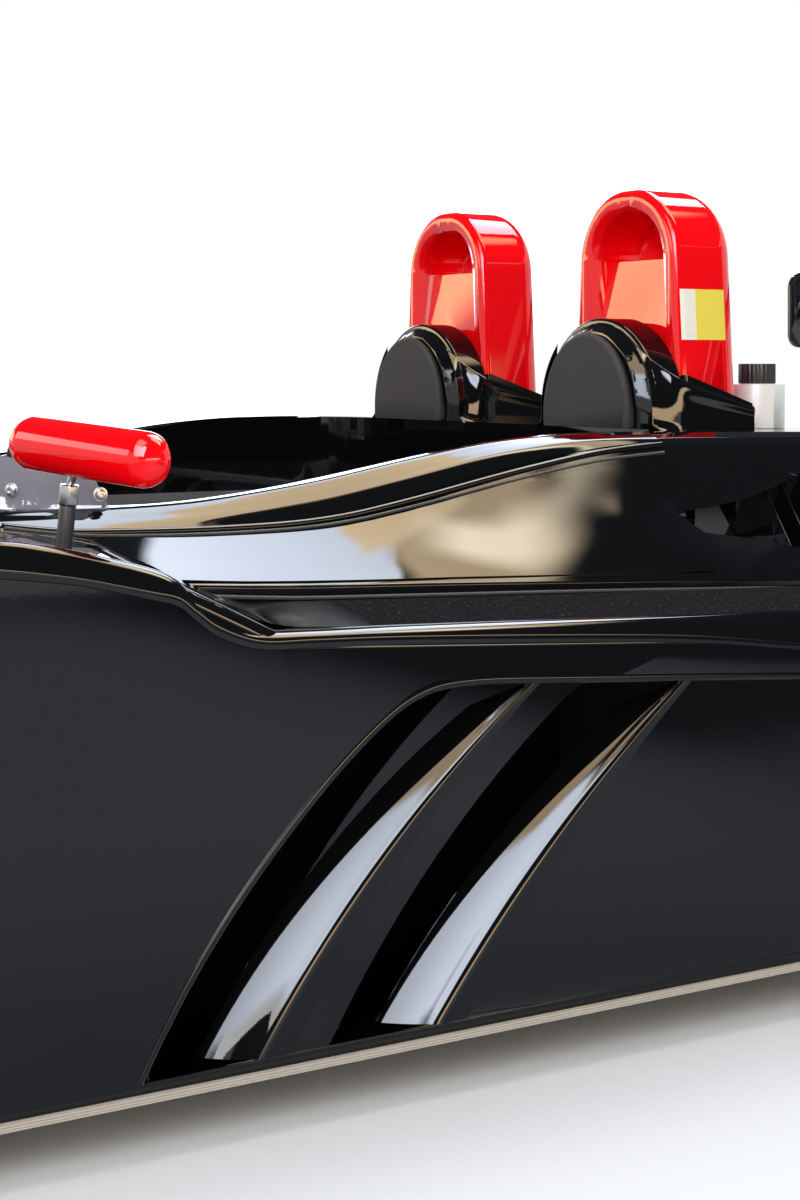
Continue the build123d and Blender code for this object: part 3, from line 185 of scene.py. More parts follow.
# How far its skin stands off the panel, and the shares of the way down that it runs along
SLOPE_SKIN, SLOPE_SHARES = 0.0012, (0.12, 0.34, 0.56, 0.78, 0.94)
# Cockpit's rim above the slope: how far inside the slope's head its skin runs, and how far over it
# the search for its points begins
RIM_REACH, RIM_OVER = (0.003, 0.011, 0.019, 0.027, 0.035, 0.044), 0.02
# Radius of the rim's roll and how far out and up it sits, radius of the seal and its way down the slope
ROLL_RADIUS, ROLL_LIFT = 0.0042, 0.0005
SEAL_RADIUS, SEAL_DOWN = 0.0024, 0.007

# Mirrors: the pod's middle, half length, radius and flat back, its turn and its droop in degrees
MIRROR_PLACE = (0.654, 0.703, 0.714)
MIRROR_HALF, MIRROR_RADIUS, MIRROR_BACK = 0.105, 0.0295, 0.010
MIRROR_TURN, MIRROR_DROOP = 25, 5
# The frame round the glass, the step in to it, its depth, and how the glass lies off its bed
GLASS_FRAME, GLASS_STEP, GLASS_DEPTH = 0.0025, 0.0008, 0.0035
GLASS_SHIFT = (-0.0006, -0.0002, 0)
# The stalk's line, and the parts on it: name, start and end from its foot, radius, sides, edge, finish
STALK_FOOT = (0.672, 0.670, 0.585)
STALK_HEAD = (0.665, 0.679, 0.690)
STALK_PARTS = (
    ("stalk", 0.0, 0.072, 0.0088, 32, 0.001, None),
    ("nut", 0.0725, 0.094, 0.0115, 6, 0.0015, "screw_steel"))
# The neck from there into the pod: its start, radius, and how far it goes towards the pod's middle
NECK_START, NECK_RADIUS, NECK_SHARE = 0.093, 0.0045, 0.3


class SportsRacerSizes(bpy.types.PropertyGroup):
    """Sizes of the small fittings"""
    field_lip_radius: bpy.props.FloatProperty(
        name="Vent lip radius", description="Radius of the lip round the vents", default=0.0065, unit="LENGTH")
    joint_radius: bpy.props.FloatProperty(
        name="Joint radius", description="Radius of the seal below the slope", default=0.0026, unit="LENGTH")
    screw_radius: bpy.props.FloatProperty(
        name="Screw radius", description="Radius of the button-head screws", default=0.006, unit="LENGTH")


class SportsRacerColours(bpy.types.PropertyGroup):
    """Colours of the car's finishes, as sRGB hex values"""
    body: bpy.props.StringProperty(name="Body", description="Gelcoat of the body", default="0a0a0b")
    accent: bpy.props.StringProperty(name="Accent", description="Gelcoat of hoops and mirrors", default="f2050f")
    floor: bpy.props.StringProperty(name="Stage floor", description="Studio floor", default="e6e7e9")


def linear(hex_text):
    """Linear colour of an sRGB hex value."""
    channels = [int(hex_text[n:n + 2], 16) / 255 for n in (0, 2, 4)]
    return tuple(c / 12.92 if c <= 0.04045 else ((c + 0.055) / 1.055) ** 2.4 for c in channels) + (1.0,)


def add(tree, kind, sockets=(), stops=(), **settings):
    """Adds one node with its settings, and a colour ramp's stops of (position, hex). Each socket takes
    a value, or the node or output that is linked to it."""
    node = tree.nodes.new("ShaderNode" + kind)
    for name, value in settings.items():
        setattr(node, name, value)
    for socket, value in dict(sockets).items():
        source = value.outputs[0] if isinstance(value, bpy.types.Node) else value
        if isinstance(source, bpy.types.NodeSocket):
            tree.links.new(source, node.inputs[socket])
        else:
            node.inputs[socket].default_value = value
    if stops:
        colours = node.color_ramp.elements
        colours[0].position, colours[-1].position = stops[0][0], stops[-1][0]
        for position, _ in stops[1:-1]:
            colours.new(position)
        for colour, (_, hex_text) in zip(colours, stops):
            colour.color = linear(hex_text)
    return node


def start_material(name, hex_text, roughness, metallic=0.0):
    """A material with its shader and the object coordinates to build on."""
    material = bpy.data.materials.new(name)
    material.use_nodes = True
    tree = material.node_tree
    shader = tree.nodes["Principled BSDF"]
    shader.inputs["Base Color"].default_value = linear(hex_text)
    shader.inputs["Roughness"].default_value = roughness
    shader.inputs["Metallic"].default_value = metallic
    return material, tree, shader, add(tree, "TexCoord").outputs["Object"]


def grain(tree, shader, place, size, depth, detail=2.0, strength=1.0):
    """Bump of noise with a grain of a given size, both in metres."""
    noise = add(tree, "TexNoise", {"Vector": place, "Scale": 1 / size, "Detail": detail})
    bump = add(tree, "Bump", {"Height": noise, "Strength": strength, "Distance": depth})
    tree.links.new(bump.outputs["Normal"], shader.inputs["Normal"])
    return noise


def gelcoat(name, hex_text):
    """Polished polyester gelcoat: deep gloss with the faint ripple of a hand-laid mould."""
    material, tree, shader, place = start_material(name, hex_text, 0.03)
    shader.inputs["IOR"].default_value = 1.5
    grain(tree, shader, place, 3.5 * MM, 0.02 * MM, detail=1.0, strength=0.35)
    return material


def dusty_gelcoat(hex_text):
    """Gelcoat that lies flat and has caught road dust: polished ahead, then a dull film with pale specks."""
    material, tree, shader, place = start_material("dusty_gelcoat", hex_text, 0.3)
    along = add(tree, "SeparateXYZ", {0: place}).outputs["X"]
    film = add(tree, "MapRange", {0: along, 1: DUST_X[0], 2: DUST_X[1]}, interpolation_type="SMOOTHSTEP")
    dull = add(tree, "MapRange", {0: film, 3: 0.03, 4: 0.5})
    shine = add(tree, "MapRange", {0: film, 3: 0.5, 4: 0.0})
    tree.links.new(dull.outputs[0], shader.inputs["Roughness"])
    tree.links.new(shine.outputs[0], shader.inputs["Specular IOR Level"])
    clouds = grain(tree, shader, place, 5 * MM, 0.04 * MM, detail=4.0, strength=0.5)
    tone = add(tree, "ValToRGB", {0: clouds}, ((0.35, "1a1a1c"), (0.7, "29282a")))
    dusted = add(tree, "Mix", {0: film, 6: linear(hex_text), 7: tone}, data_type="RGBA").outputs[2]
    # grit up to 1.2 mm across, a speck for each 9 mm or so
    cells = add(tree, "TexVoronoi", {"Vector": place, "Scale": 1 / (9 * MM), "Randomness": 1.0})
    speck = add(tree, "ValToRGB", {0: cells}, ((0.0, "ffffff"), (0.055, "ffffff"), (0.075, "000000")))
    lit = add(tree, "Mix", {0: speck, 6: dusted, 7: linear("8d8a88")}, data_type="RGBA")
    tree.links.new(lit.outputs[2], shader.inputs["Base Color"])
    return material


def plywood():
    """Birch plywood seen on its sawn edge: thin plies, alternately long and end grain, dusty from the road."""
    material, tree, shader, place = start_material("birch_plywood", "b9a88c", 0.75)
    up = add(tree, "SeparateXYZ", {0: place}).outputs["Z"]
    ply = add(tree, "Math", {0: up, 1: 1 / (3.0 * MM)}, operation="MULTIPLY")
    wave = add(tree, "Math", {0: ply}, operation="FRACT")
    plies = add(tree, "ValToRGB", {0: wave}, (
        (0.0, "c8b99d"), (0.45, "beac8e"), (0.55, "7d6a52"), (1.0, "86735a")))
    clouds = add(tree, "TexNoise", {"Vector": place, "Scale": 1 / (9 * MM), "Detail": 4.0})
    dusty = add(tree, "Mix", {0: clouds, 6: plies, 7: linear("a7a5a2")}, data_type="RGBA")
    tree.links.new(dusty.outputs[2], shader.inputs["Base Color"])
    grain(tree, shader, place, 1.2 * MM, 0.15 * MM)
    return material


def rolled_aluminium():
    """Mill-finish aluminium sheet with the long faint lines of the rolling mill."""
    material, tree, shader, place = start_material("rolled_aluminium", "b4b6b9", 0.36, 1.0)
    stretch = add(tree, "Mapping", {"Vector": place, "Scale": (6.0, 300.0, 300.0)})
    lines = add(tree, "TexNoise", {"Vector": stretch, "Scale": 1.0, "Detail": 3.0})
    rough = add(tree, "MapRange", {0: lines, 3: 0.28, 4: 0.46})
    tree.links.new(rough.outputs[0], shader.inputs["Roughness"])
    return material


def rough_plain(name, hex_text, roughness, metallic, size, depth):
    """A cast, coated or moulded surface: one colour with a grain, given in mm, that also varies its sheen."""
    material, tree, shader, place = start_material(name, hex_text, roughness, metallic)
    pebble = grain(tree, shader, place, size * MM, depth * MM)
    sheen = add(tree, "MapRange", {0: pebble, 3: roughness * 0.85, 4: min(1.0, roughness * 1.15)})
    tree.links.new(sheen.outputs[0], shader.inputs["Roughness"])
    return material


def carbon_twill():
    """Lacquered carbon fibre in a 2/2 twill, drawn 4 mm wide so that it shows."""
    material, tree, shader, place = start_material("carbon_twill", "101113", 0.22)
    split = add(tree, "SeparateXYZ", {0: place})
    tows = []
    for axis in ("X", "Y"):
        scaled = add(tree, "Math", {0: split.outputs[axis], 1: 1 / (4 * MM)}, operation="MULTIPLY")
        tows.append(add(tree, "Math", {0: scaled}, operation="FLOOR"))
    total = add(tree, "Math", {0: tows[0], 1: tows[1]}, operation="ADD")
    quarter = add(tree, "Math", {0: total, 1: 0.25}, operation="MULTIPLY")
    turn = add(tree, "Math", {0: quarter}, operation="FRACT")
    weave = add(tree, "Math", {0: turn, 1: 0.5}, operation="GREATER_THAN")
    tone = add(tree, "Mix", {0: weave, 6: linear("0d0e10"), 7: linear("24262a")}, data_type="RGBA")
    tree.links.new(tone.outputs[2], shader.inputs["Base Color"])
    shader.inputs["Coat Weight"].default_value = 0.6
    shader.inputs["Coat Roughness"].default_value = 0.04
    return material


def tread_rubber():
    """Vulcanised rubber, dull, dark grey and slightly bloomed, with grooves round the tread only, which are
    painted darker as painted shade in them.
    """
    material, tree, shader, place = start_material("vulcanised_rubber", "1d1d1f", 0.78)
    across = add(tree, "SeparateXYZ", {0: place}).outputs["Y"]
    pitch = add(tree, "Math", {0: across, 1: 1 / (34 * MM)}, operation="MULTIPLY")
    wave = add(tree, "Math", {0: pitch}, operation="FRACT")
    off = add(tree, "Math", {0: wave, 1: 0.5}, operation="SUBTRACT")
    side = add(tree, "Math", {0: off}, operation="ABSOLUTE")
    groove = add(tree, "MapRange", {0: side, 1: 0.07, 2: 0.12})
    facing = add(tree, "SeparateXYZ", {0: add(tree, "NewGeometry").outputs["Normal"]}).outputs["Y"]
    level = add(tree, "Math", {0: facing}, operation="ABSOLUTE")
    wall = add(tree, "MapRange", {0: level, 1: 0.25, 2: 0.45})
    height = add(tree, "Math", {0: groove, 1: wall}, operation="MAXIMUM")
    # painted shade: the tread's grooves take a near-black colour, darker than the rest of the rubber
    tone = add(tree, "Mix", {0: height, 6: linear("070708"), 7: linear("1f1f21")}, data_type="RGBA")
    tree.links.new(tone.outputs[2], shader.inputs["Base Color"])
    bump = add(tree, "Bump", {"Height": height, "Strength": 1.0, "Distance": 4 * MM})
    tree.links.new(bump.outputs["Normal"], shader.inputs["Normal"])
    return material


def clear_sheet(name, hex_text, roughness, clear=1.0):
    """Clear or tinted moulded sheet, such as polycarbonate, with a haze where it isn't quite clear.
    Its IOR is low, because a thin sheet hardly bends what lies behind it."""
    material, tree, shader, place = start_material(name, hex_text, roughness)
    shader.inputs["Transmission Weight"].default_value = clear
    shader.inputs["IOR"].default_value = 1.2
    grain(tree, shader, place, 20 * MM, 0.02 * MM, strength=0.2)
    return material


def blow_moulded():
    """Natural polyethylene, blow moulded: milky, with light passing through."""
    material, tree, shader, place = start_material("blow_moulded_polyethylene", "e6e8e6", 0.34)
    shader.inputs["Subsurface Weight"].default_value = 0.35
    shader.inputs["Subsurface Scale"].default_value = 0.01
    grain(tree, shader, place, 6 * MM, 0.1 * MM, strength=0.4)
    return material


def label_film(name, hex_text):
    """Plain vinyl film, gloss, slightly rippled where it was laid by hand."""
    material, tree, shader, place = start_material(name, hex_text, 0.3)
    grain(tree, shader, place, 14 * MM, 0.25 * MM, strength=0.5)
    return material


MATERIALS = {}

# Plain finishes, by slot: name, colour, roughness, metallic, and the grain's size and depth in mm
PLAIN_FINISHES = {
    # powder coat on steel tube gives a soft black with an even pebble
    "suspension_steel": ("powder_coated_steel", "1c1c1e", 0.42, 0.0, 0.9, 0.03),
    # embossed upholstery vinyl is dull, with a fine leather-like grain
    "pad_vinyl": ("embossed_vinyl", "1e1e21", 0.78, 0.0, 1.1, 0.12),
    # rotationally moulded polyethylene is matt and a little uneven
    "seat_shell": ("moulded_seat_shell", "1b1b1c", 0.5, 0.0, 2.5, 0.05),
    # foamed polyurethane grip: matt black skin
    "steering_rubber": ("foamed_polyurethane", "161617", 0.7, 0.0, 0.8, 0.08),
    # sand-cast aluminium alloy, grey and grainy
    "engine_cast": ("sand_cast_alloy", "77787a", 0.55, 1.0, 2.0, 0.25),
    # heat-tinted stainless tube, straw to brown
    "exhaust_steel": ("heat_tinted_stainless", "8d7a66", 0.3, 1.0, 8, 0.03),
    # stove enamel on the tow hook: even, glossy red
    "tow_red": ("stove_enamel", "c01318", 0.25, 0.0, 5, 0.02),
    # painted cast wheel in satin graphite: a broad, soft shine
    "wheel_alloy": ("satin_cast_wheel", "3c3e41", 0.38, 0.7, 2.0, 0.03),
    # extruded rubber seals and sill strips: dark grey with a soft sheen
    "seal_rubber": ("extruded_rubber", "2b2b2e", 0.5, 0.0, 1.0, 0.05),
    # zinc-plated or stainless screw heads: small bright reflections
    "screw_steel": ("bright_screw_steel", "a9abad", 0.25, 1.0, 1.0, 0.01),
    # moulded nylon screw cap: black, with a soft sheen
    "cap_nylon": ("moulded_nylon", "141415", 0.42, 0.0, 1.2, 0.03),
    # silvered glass: reflects all, nearly without a blur
    "mirror_glass": ("silvered_glass", "e8eaec", 0.02, 1.0, 40, 0.001),
    # matt laminate inside the lamps: takes up the light
    "black_void": ("matt_black_laminate", "0a0a0a", 0.7, 0.0, 3.0, 0.1),
}


def make_materials():
    """All finishes, by the name of the record's slot that they belong to."""
    colours = bpy.context.scene.sports_racer_colours
    MATERIALS.update({slot: rough_plain(*row) for slot, row in PLAIN_FINISHES.items()})
    MATERIALS.update({
        "black_gelcoat": gelcoat("polished_black_gelcoat", colours.body),
        "red_gelcoat": gelcoat("polished_red_gelcoat", colours.accent),
        "dusty_gelcoat": dusty_gelcoat(colours.body),
        "birch_plywood": plywood(),
        "tub_aluminium": rolled_aluminium(),
        # polycarbonate tinted grey: dark and glossy, with what lies behind it dimmed
        "smoked_screen": clear_sheet("smoked_polycarbonate", "c2bfca", 0.02, clear=0.62),
        "bottle_plastic": blow_moulded(),
        "carbon_panel": carbon_twill(),
        # clear polycarbonate lens: a hard gloss over what lies behind it
        "lamp_lens": clear_sheet("clear_polycarbonate", "f2f6fa", 0.02),
        # red acrylic lens: glossy, and part of the light goes in
        "tail_lens": clear_sheet("red_acrylic", "c81216", 0.05, clear=0.4),
        "tyre_rubber": tread_rubber(),
        "label_film": label_film("label_film", "e8d24a"),
        "label_pale": label_film("label_film_pale", "e9e6d8"),
    })


def deselect():
    bpy.ops.object.select_all(action="DESELECT")


def pick(*objects):
    """Selects these objects only, the last one active."""
    deselect()
    for item in objects:
        item.select_set(True)
    bpy.context.view_layer.objects.active = objects[-1]


def new_piece(name):
    """The piece that an operator has just made, with its name."""
    piece = bpy.context.view_layer.objects.active
    piece.name = name
    return piece


def edit_all(operator, **settings):
    """Runs one mesh operator on the whole of the active piece."""
    bpy.ops.object.mode_set(mode="EDIT")
    bpy.ops.mesh.select_all(action="SELECT")
    operator(**settings)
    bpy.ops.object.mode_set(mode="OBJECT")


def open_faces(piece, facing, limit):
    """Opens a piece in edit mode with only its faces that look this way selected."""
    pick(piece)
    bpy.ops.object.mode_set(mode="EDIT")
    bpy.ops.mesh.select_mode(type="FACE")
    bpy.ops.mesh.select_all(action="DESELECT")
    bpy.ops.object.mode_set(mode="OBJECT")
    for face in piece.data.polygons:
        face.select = face.normal.dot(facing) > limit
    bpy.ops.object.mode_set(mode="EDIT")


def smooth(degrees):
    """Smooth shading on the active piece, except over edges sharper than this."""
    bpy.ops.object.shade_smooth_by_angle(angle=math.radians(degrees))


def modified(piece, kind, **settings):
    """Applies one modifier, with its settings, to a piece."""
    pick(piece)
    change = piece.modifiers.new("change", kind)
    for name, value in settings.items():
        setattr(change, name, value)
    bpy.ops.object.modifier_apply(modifier=change.name)


def copied(source, name):
    """A copy of an object with its own mesh, alone in the selection."""
    piece = source.copy()
    piece.data = source.data.copy()
    piece.name = name
    bpy.context.scene.collection.objects.link(piece)
    pick(piece)
    return piece


def dress(piece, body, slot, nodes=(), finish=None):
    """Gives a finished piece its material, its body and the nodes that it stands for."""
    if not MATERIALS:
        make_materials()
    piece.data.materials.clear()
    piece.data.materials.append(MATERIALS[finish or slot])
    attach(piece, body)
    if nodes:
        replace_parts(piece, *nodes)


def dress_pair(left, slot, node=None, finish=None):
    """Dresses a piece on the left of the car, and its mirror image on the right."""
    right = copied(left, left.name.replace("left", "right"))
    right.scale.y = -1
    bpy.ops.object.transform_apply()
    edit_all(bpy.ops.mesh.normals_make_consistent, inside=False)
    for piece, side in ((left, "_left"), (right, "_right")):
        dress(piece, "root", slot, (node + side,) if node else (), finish)


def smooth_copy(node, degrees=30):
    """A welded copy of a CAD node with smooth shading between its sharp edges."""
    piece = copied(frame["nodes"][node], node + "_skin")
    piece.parent = None
    for key in list(piece.keys()):
        del piece[key]
    edit_all(bpy.ops.mesh.remove_doubles, threshold=0.02 * MM)
    smooth(degrees)
    modified(piece, "WEIGHTED_NORMAL", keep_sharp=True)
    return piece


def dress_nodes(nodes, degrees=30):
    """Stands a smooth copy in for each of these nodes, in the node's own finish."""
    for node in nodes:
        dress(smooth_copy(node, degrees), BODY_OF[node], SLOT_OF[node], (node,))


def swept(name, points, radius):
    """Round strip along a smooth line through these control points, made a mesh."""
    data = bpy.data.curves.new(name, "CURVE")
    data.dimensions = "3D"
    data.bevel_depth = radius
    data.bevel_resolution = 4
    data.use_fill_caps = True
    data.resolution_u = 10
    spline = data.splines.new("NURBS")
    spline.points.add(len(points) - 1)
    for point, place in zip(spline.points, points):
        point.co = (*place, 1.0)
    spline.order_u = 3
    spline.use_endpoint_u = True
    line = bpy.data.objects.new(name, data)
    bpy.context.scene.collection.objects.link(line)
    pick(line)
    bpy.ops.object.convert(target="MESH")
    smooth(40)
    return bpy.context.view_layer.objects.active


def joined(name, pieces):
    """One mesh from several."""
    pick(*pieces)
    bpy.ops.object.join()
    return new_piece(name)


def turned(name, start, end, radius, sides, edge):
    """Round or many-sided bar between two places, with its ends bevelled."""
    line = end - start
    deselect()
    bpy.ops.mesh.primitive_cylinder_add(
        vertices=sides, radius=radius, depth=line.length, location=(start + end) / 2,
        rotation=line.to_track_quat("Z", "Y").to_euler())
    piece = new_piece(name)
    bpy.ops.object.transform_apply()
    modified(piece, "BEVEL", width=edge, segments=3)
    smooth(35)
    return piece


def mirror_pod():
    """Long rounded pod with a flat back that holds the glass, turned towards the driver."""
    deselect()
    bpy.ops.mesh.primitive_uv_sphere_add(segments=48, ring_count=32, radius=MIRROR_RADIUS)
    pod = new_piece("mirror_pod_left")
    for vertex in pod.data.vertices:
        if abs(vertex.co.z) > 0.5 * MM:
            vertex.co.z += math.copysign(MIRROR_HALF - MIRROR_RADIUS, vertex.co.z)
    back = Vector((-1, 0, 0))
    edit_all(bpy.ops.mesh.bisect, plane_co=back * MIRROR_BACK, plane_no=back, use_fill=True, clear_outer=True)
    open_faces(pod, back, 0.99)
    bpy.ops.mesh.inset(thickness=GLASS_FRAME)
    bpy.ops.mesh.inset(thickness=GLASS_STEP, depth=-GLASS_DEPTH)
    bpy.ops.mesh.duplicate()
    bpy.ops.mesh.separate(type="SELECTED")
    bpy.ops.object.mode_set(mode="OBJECT")
    glass = next(item for item in bpy.context.selected_objects if item is not pod)
    glass.name = "mirror_glass_left"
    for piece in (pod, glass):
        pick(piece)
        piece.location = MIRROR_PLACE
        piece.rotation_euler = (math.radians(90 - MIRROR_DROOP), 0, math.radians(MIRROR_TURN))
        bpy.ops.object.transform_apply()
        smooth(35)
    for vertex in glass.data.vertices:
        vertex.co += Vector(GLASS_SHIFT)
    return pod, glass


def screw(place, facing, radius):
    """Button-head screw with a socket, standing on a surface. Its parts follow its radius."""
    deselect()
    bpy.ops.mesh.primitive_cylinder_add(
        vertices=24, radius=radius, depth=radius * 0.7, location=place,
        rotation=facing.to_track_quat("Z", "Y").to_euler())
    head = new_piece("screw")
    bpy.ops.object.transform_apply()
    open_faces(head, facing, 0.9)
    bpy.ops.mesh.inset(thickness=radius * 0.3, depth=radius * 0.12)
    bpy.ops.mesh.inset(thickness=radius * 0.25)
    bpy.ops.mesh.inset(thickness=0.0, depth=-radius * 0.35)
    bpy.ops.object.mode_set(mode="OBJECT")
    smooth(40)
    return head


def arc_point(corners, share):
    """Point at a share of the way along the arc through three points of a plane."""
    (ax, az), (bx, bz), (cx, cz) = corners
    twice = 2 * (ax * (bz - cz) + bx * (cz - az) + cx * (az - bz))
    squares = [x * x + z * z for x, z in corners]
    mid_x = (squares[0] * (bz - cz) + squares[1] * (cz - az) + squares[2] * (az - bz)) / twice
    mid_z = (squares[0] * (cx - bx) + squares[1] * (ax - cx) + squares[2] * (bx - ax)) / twice
    start = math.atan2(az - mid_z, ax - mid_x)
    sweep = (math.atan2(cz - mid_z, cx - mid_x) - start + math.pi) % math.tau - math.pi
    radius = math.hypot(ax - mid_x, az - mid_z)
    angle = start + sweep * share
    return mid_x + radius * math.cos(angle), mid_z + radius * math.sin(angle)


def smooth_line(points, steps):
    """Points along a smooth line that passes through the given ones."""
    places = [Vector(p) for p in points]
    places = [places[0] * 2 - places[1]] + places + [places[-1] * 2 - places[-2]]
    line = []
    for a, b, c, d in zip(places, places[1:], places[2:], places[3:]):
        for step in range(steps):
            t = step / steps
            line.append(((b * 2) + (c - a) * t + (a * 2 - b * 5 + c * 4 - d) * t ** 2
                         + (b * 3 - a - c * 3 + d) * t ** 3) / 2)
    return line + [places[-2]]


def grid_piece(name, rows):
    """A smooth sheet through rows of points, all of the same length."""
    deselect()
    bpy.ops.mesh.primitive_grid_add(x_subdivisions=len(rows[0]) - 1, y_subdivisions=len(rows) - 1, size=1.0)
    sheet = new_piece(name)
    for vertex, place in zip(sheet.data.vertices, [place for row in rows for place in row]):
        vertex.co = place
    bpy.ops.object.shade_smooth()
    return sheet


def skin(name, rows, wall=MM):
    """A smooth sheet through rows of points with its wall, on the side away from its faces' normals."""
    piece = grid_piece(name, rows)
    modified(piece, "SOLIDIFY", thickness=wall, offset=-1.0)
    smooth(50)
    return piece


def crossed(sections, steps):
    """Rows of points along smooth lines that run from section to section."""
    return [smooth_line(points, steps) for points in zip(*sections)]


def bead():
    """Rolled edge along the top of the flank: inner foot, crest, outer bulge and lower step."""
    sections = []
    for x, crest, bulge, step in BEAD_ROWS:
        foot = min(crest, step + BEAD_FOOT_RISE) - BEAD_FOOT_DROP
        shoulder = crest - (crest - bulge) * 0.3
        profile = smooth_line((
            (x, BEAD_FOOT_Y, foot), (x, BEAD_FOOT_Y + 0.011, (crest + foot) / 2), (x, BEAD_CREST_Y, crest),
            (x, FLANK_Y - BEAD_SHOULDER, shoulder), (x, FLANK_Y + BEAD_OUT * 0.6, bulge),
            (x, FLANK_Y + BEAD_OUT, (bulge + step) / 2), (x, FLANK_Y + BEAD_OUT * 0.8, step)), 5)
        profile.append(Vector((x, FLANK_Y - 1.0 * MM, step - 1.5 * MM)))
        sections.append(profile)
    return skin("flank_bead_left", list(zip(*crossed(sections, steps=8))), 2 * MM)


def surface_of(node):
    """The surface of a node of the frame, ready for points to be found on it."""
    mesh = frame["nodes"][node].data
    corners = [vertex.co for vertex in mesh.vertices]
    return BVHTree.FromPolygons(corners, [face.vertices[:] for face in mesh.polygons])


def hit(surface, start, way, reach):
    """The point that a search along one way first meets on a surface, and its normal."""
    place, normal = surface.ray_cast(start, way, reach)[:2]
    if place is None:
        raise RuntimeError("no surface met from %s" % (tuple(start),))
    return place, normal


def touch(surface, place, facing, lift):
    """The point of a surface near a place, lifted off it, found along the way that it faces."""
    return hit(surface, place + facing * TOUCH_REACH, -facing, TOUCH_REACH * 2)[0] + facing * lift


def slope():
    """Smooth skin over the slope beside the cockpit, through points taken on the panel below."""
    surface = surface_of("surround")
    sections = []
    for x, head_y, head_z, foot_z in SLOPE_ROWS:
        head, foot = Vector((x, head_y, head_z)), Vector((x, SLOPE_FOOT_Y, foot_z))
        facing = Vector((0, head_z - foot_z, SLOPE_FOOT_Y - head_y)).normalized()
        sections.append([touch(surface, head.lerp(foot, share), facing, SLOPE_SKIN) for share in SLOPE_SHARES])
    rows = crossed(crossed(sections, steps=14), steps=5)
    return skin("slope_skin_left", [row[::-1] for row in rows])


def rim():
    """Smooth skin over the rolled rim of the cockpit, above the slope."""
    surface = surface_of("surround")
    sections = [[touch(surface, Vector((x, head_y - reach, head_z + RIM_OVER)), Vector((0, 0, 1)), SLOPE_SKIN)
                 for reach in RIM_REACH] for x, head_y, head_z, _ in SLOPE_ROWS]
    return skin("rim_skin_left", crossed(crossed(sections, steps=14), steps=4))


def eased(heights):
    """Heights with their hollows filled and their corners rounded, nowhere below what they were."""
    def spread(values, choose):
        return [choose(values[max(n - LEDGE_EASE, 0):n + LEDGE_EASE + 1]) for n in range(len(values))]

    def mean(values):
        return sum(values) / len(values)

    level = spread(spread(spread(heights, max), min), mean)
    short = spread(spread([max(a - b, 0) for a, b in zip(heights, level)], max), mean)
    return [a + b for a, b in zip(level, short)]


def ledge():
    """Smooth skin over the ledge and the drop ahead of it, which has no sharp step in the real panel."""
    surfaces = [surface_of(node) for node in ("side_panel_left", "surround", "front_clam")]
    count = round((LEDGE_FRONT_X - LEDGE_REAR_X) / LEDGE_STEP)
    stations = [LEDGE_FRONT_X - LEDGE_STEP * n for n in range(count + 1)]
    down = Vector((0, 0, -1))
    columns = []
    for y in LEDGE_LINES:
        found = [[surface.ray_cast(Vector((x, y, LEDGE_TOP_Z)), down, LEDGE_REACH)[0] for surface in surfaces]
                 for x in stations]
        heights = [max(place.z for place in row if place is not None) for row in found]
        column = []
        for n, (x, height, level) in enumerate(zip(stations, heights, eased(heights))):
            fade = min(n / LEDGE_FADE, 1.0)
            z = (height - LEDGE_SINK) * (1 - fade) + (level + LEDGE_LIFT) * fade
            column.append(Vector((x, y, z)))
        columns.append(column)
    return skin("ledge_skin_left", list(zip(*columns)))


def fairing(name, way):
    """Smooth cheek from the hood's round side down into its tail, outside for way 1 and inside for -1."""
    surface = surface_of("hood_left")
    crown_z, bend_z, tail_z = FAIRING_TOP_Z
    inner_y, outer_y = FAIRING_Y
    rows = []
    for n in range(FAIRING_STATIONS + 1):
        share = n / FAIRING_STATIONS
        x = FAIRING_X[0] + (FAIRING_X[1] - FAIRING_X[0]) * share
        lean = (crown_z - bend_z) * (1 - min(share / FAIRING_CROWN, 1.0)) ** FAIRING_HOLLOW
        top = bend_z + (tail_z - bend_z) * share + lean
        waist = FAIRING_WAIST * (1 - min(share / FAIRING_SWELL, 1.0))
        row = smooth_line((
            (x, inner_y - lean, top), (x, outer_y - lean * FAIRING_LEAN, top - FAIRING_EDGE),
            (x, outer_y - waist, (top + FAIRING_FOOT_Z) / 2), (x, outer_y, FAIRING_FOOT_Z)), 6)
        start = min(share / FAIRING_START, 1.0)
        ease = start * start * (3 - 2 * start)
        for place in row:
            beside = Vector((FAIRING_ROUND_X, OUTSIDE_Y, place.z))
            side = surface.ray_cast(beside, Vector((0, -1, 0)), OUTSIDE_Y)[0]
            if side is not None:
                place.y = (side.y - FAIRING_SINK) * (1 - ease) + place.y * ease
            place.y = SEAT_Y + way * (place.y - SEAT_Y)
        rows.append(row[::way])
    return skin(name, rows)


def hoop_label(name, front_x, rear_x):
    """Thin film laid on the side of the near hoop's cover."""
    surface = surface_of("hoop_cover_left")
    low, high = LABEL_Z
    columns = [front_x + (rear_x - front_x) * n / LABEL_COLUMNS for n in range(LABEL_COLUMNS + 1)]
    levels = [low + (high - low) * n / LABEL_LEVELS for n in range(LABEL_LEVELS + 1)]
    rows = [[touch(surface, Vector((x, LABEL_Y, z)), Vector((0, 1, 0)), LABEL_LIFT) for z in levels]
            for x in columns]
    return skin(name, rows, LABEL_WALL)


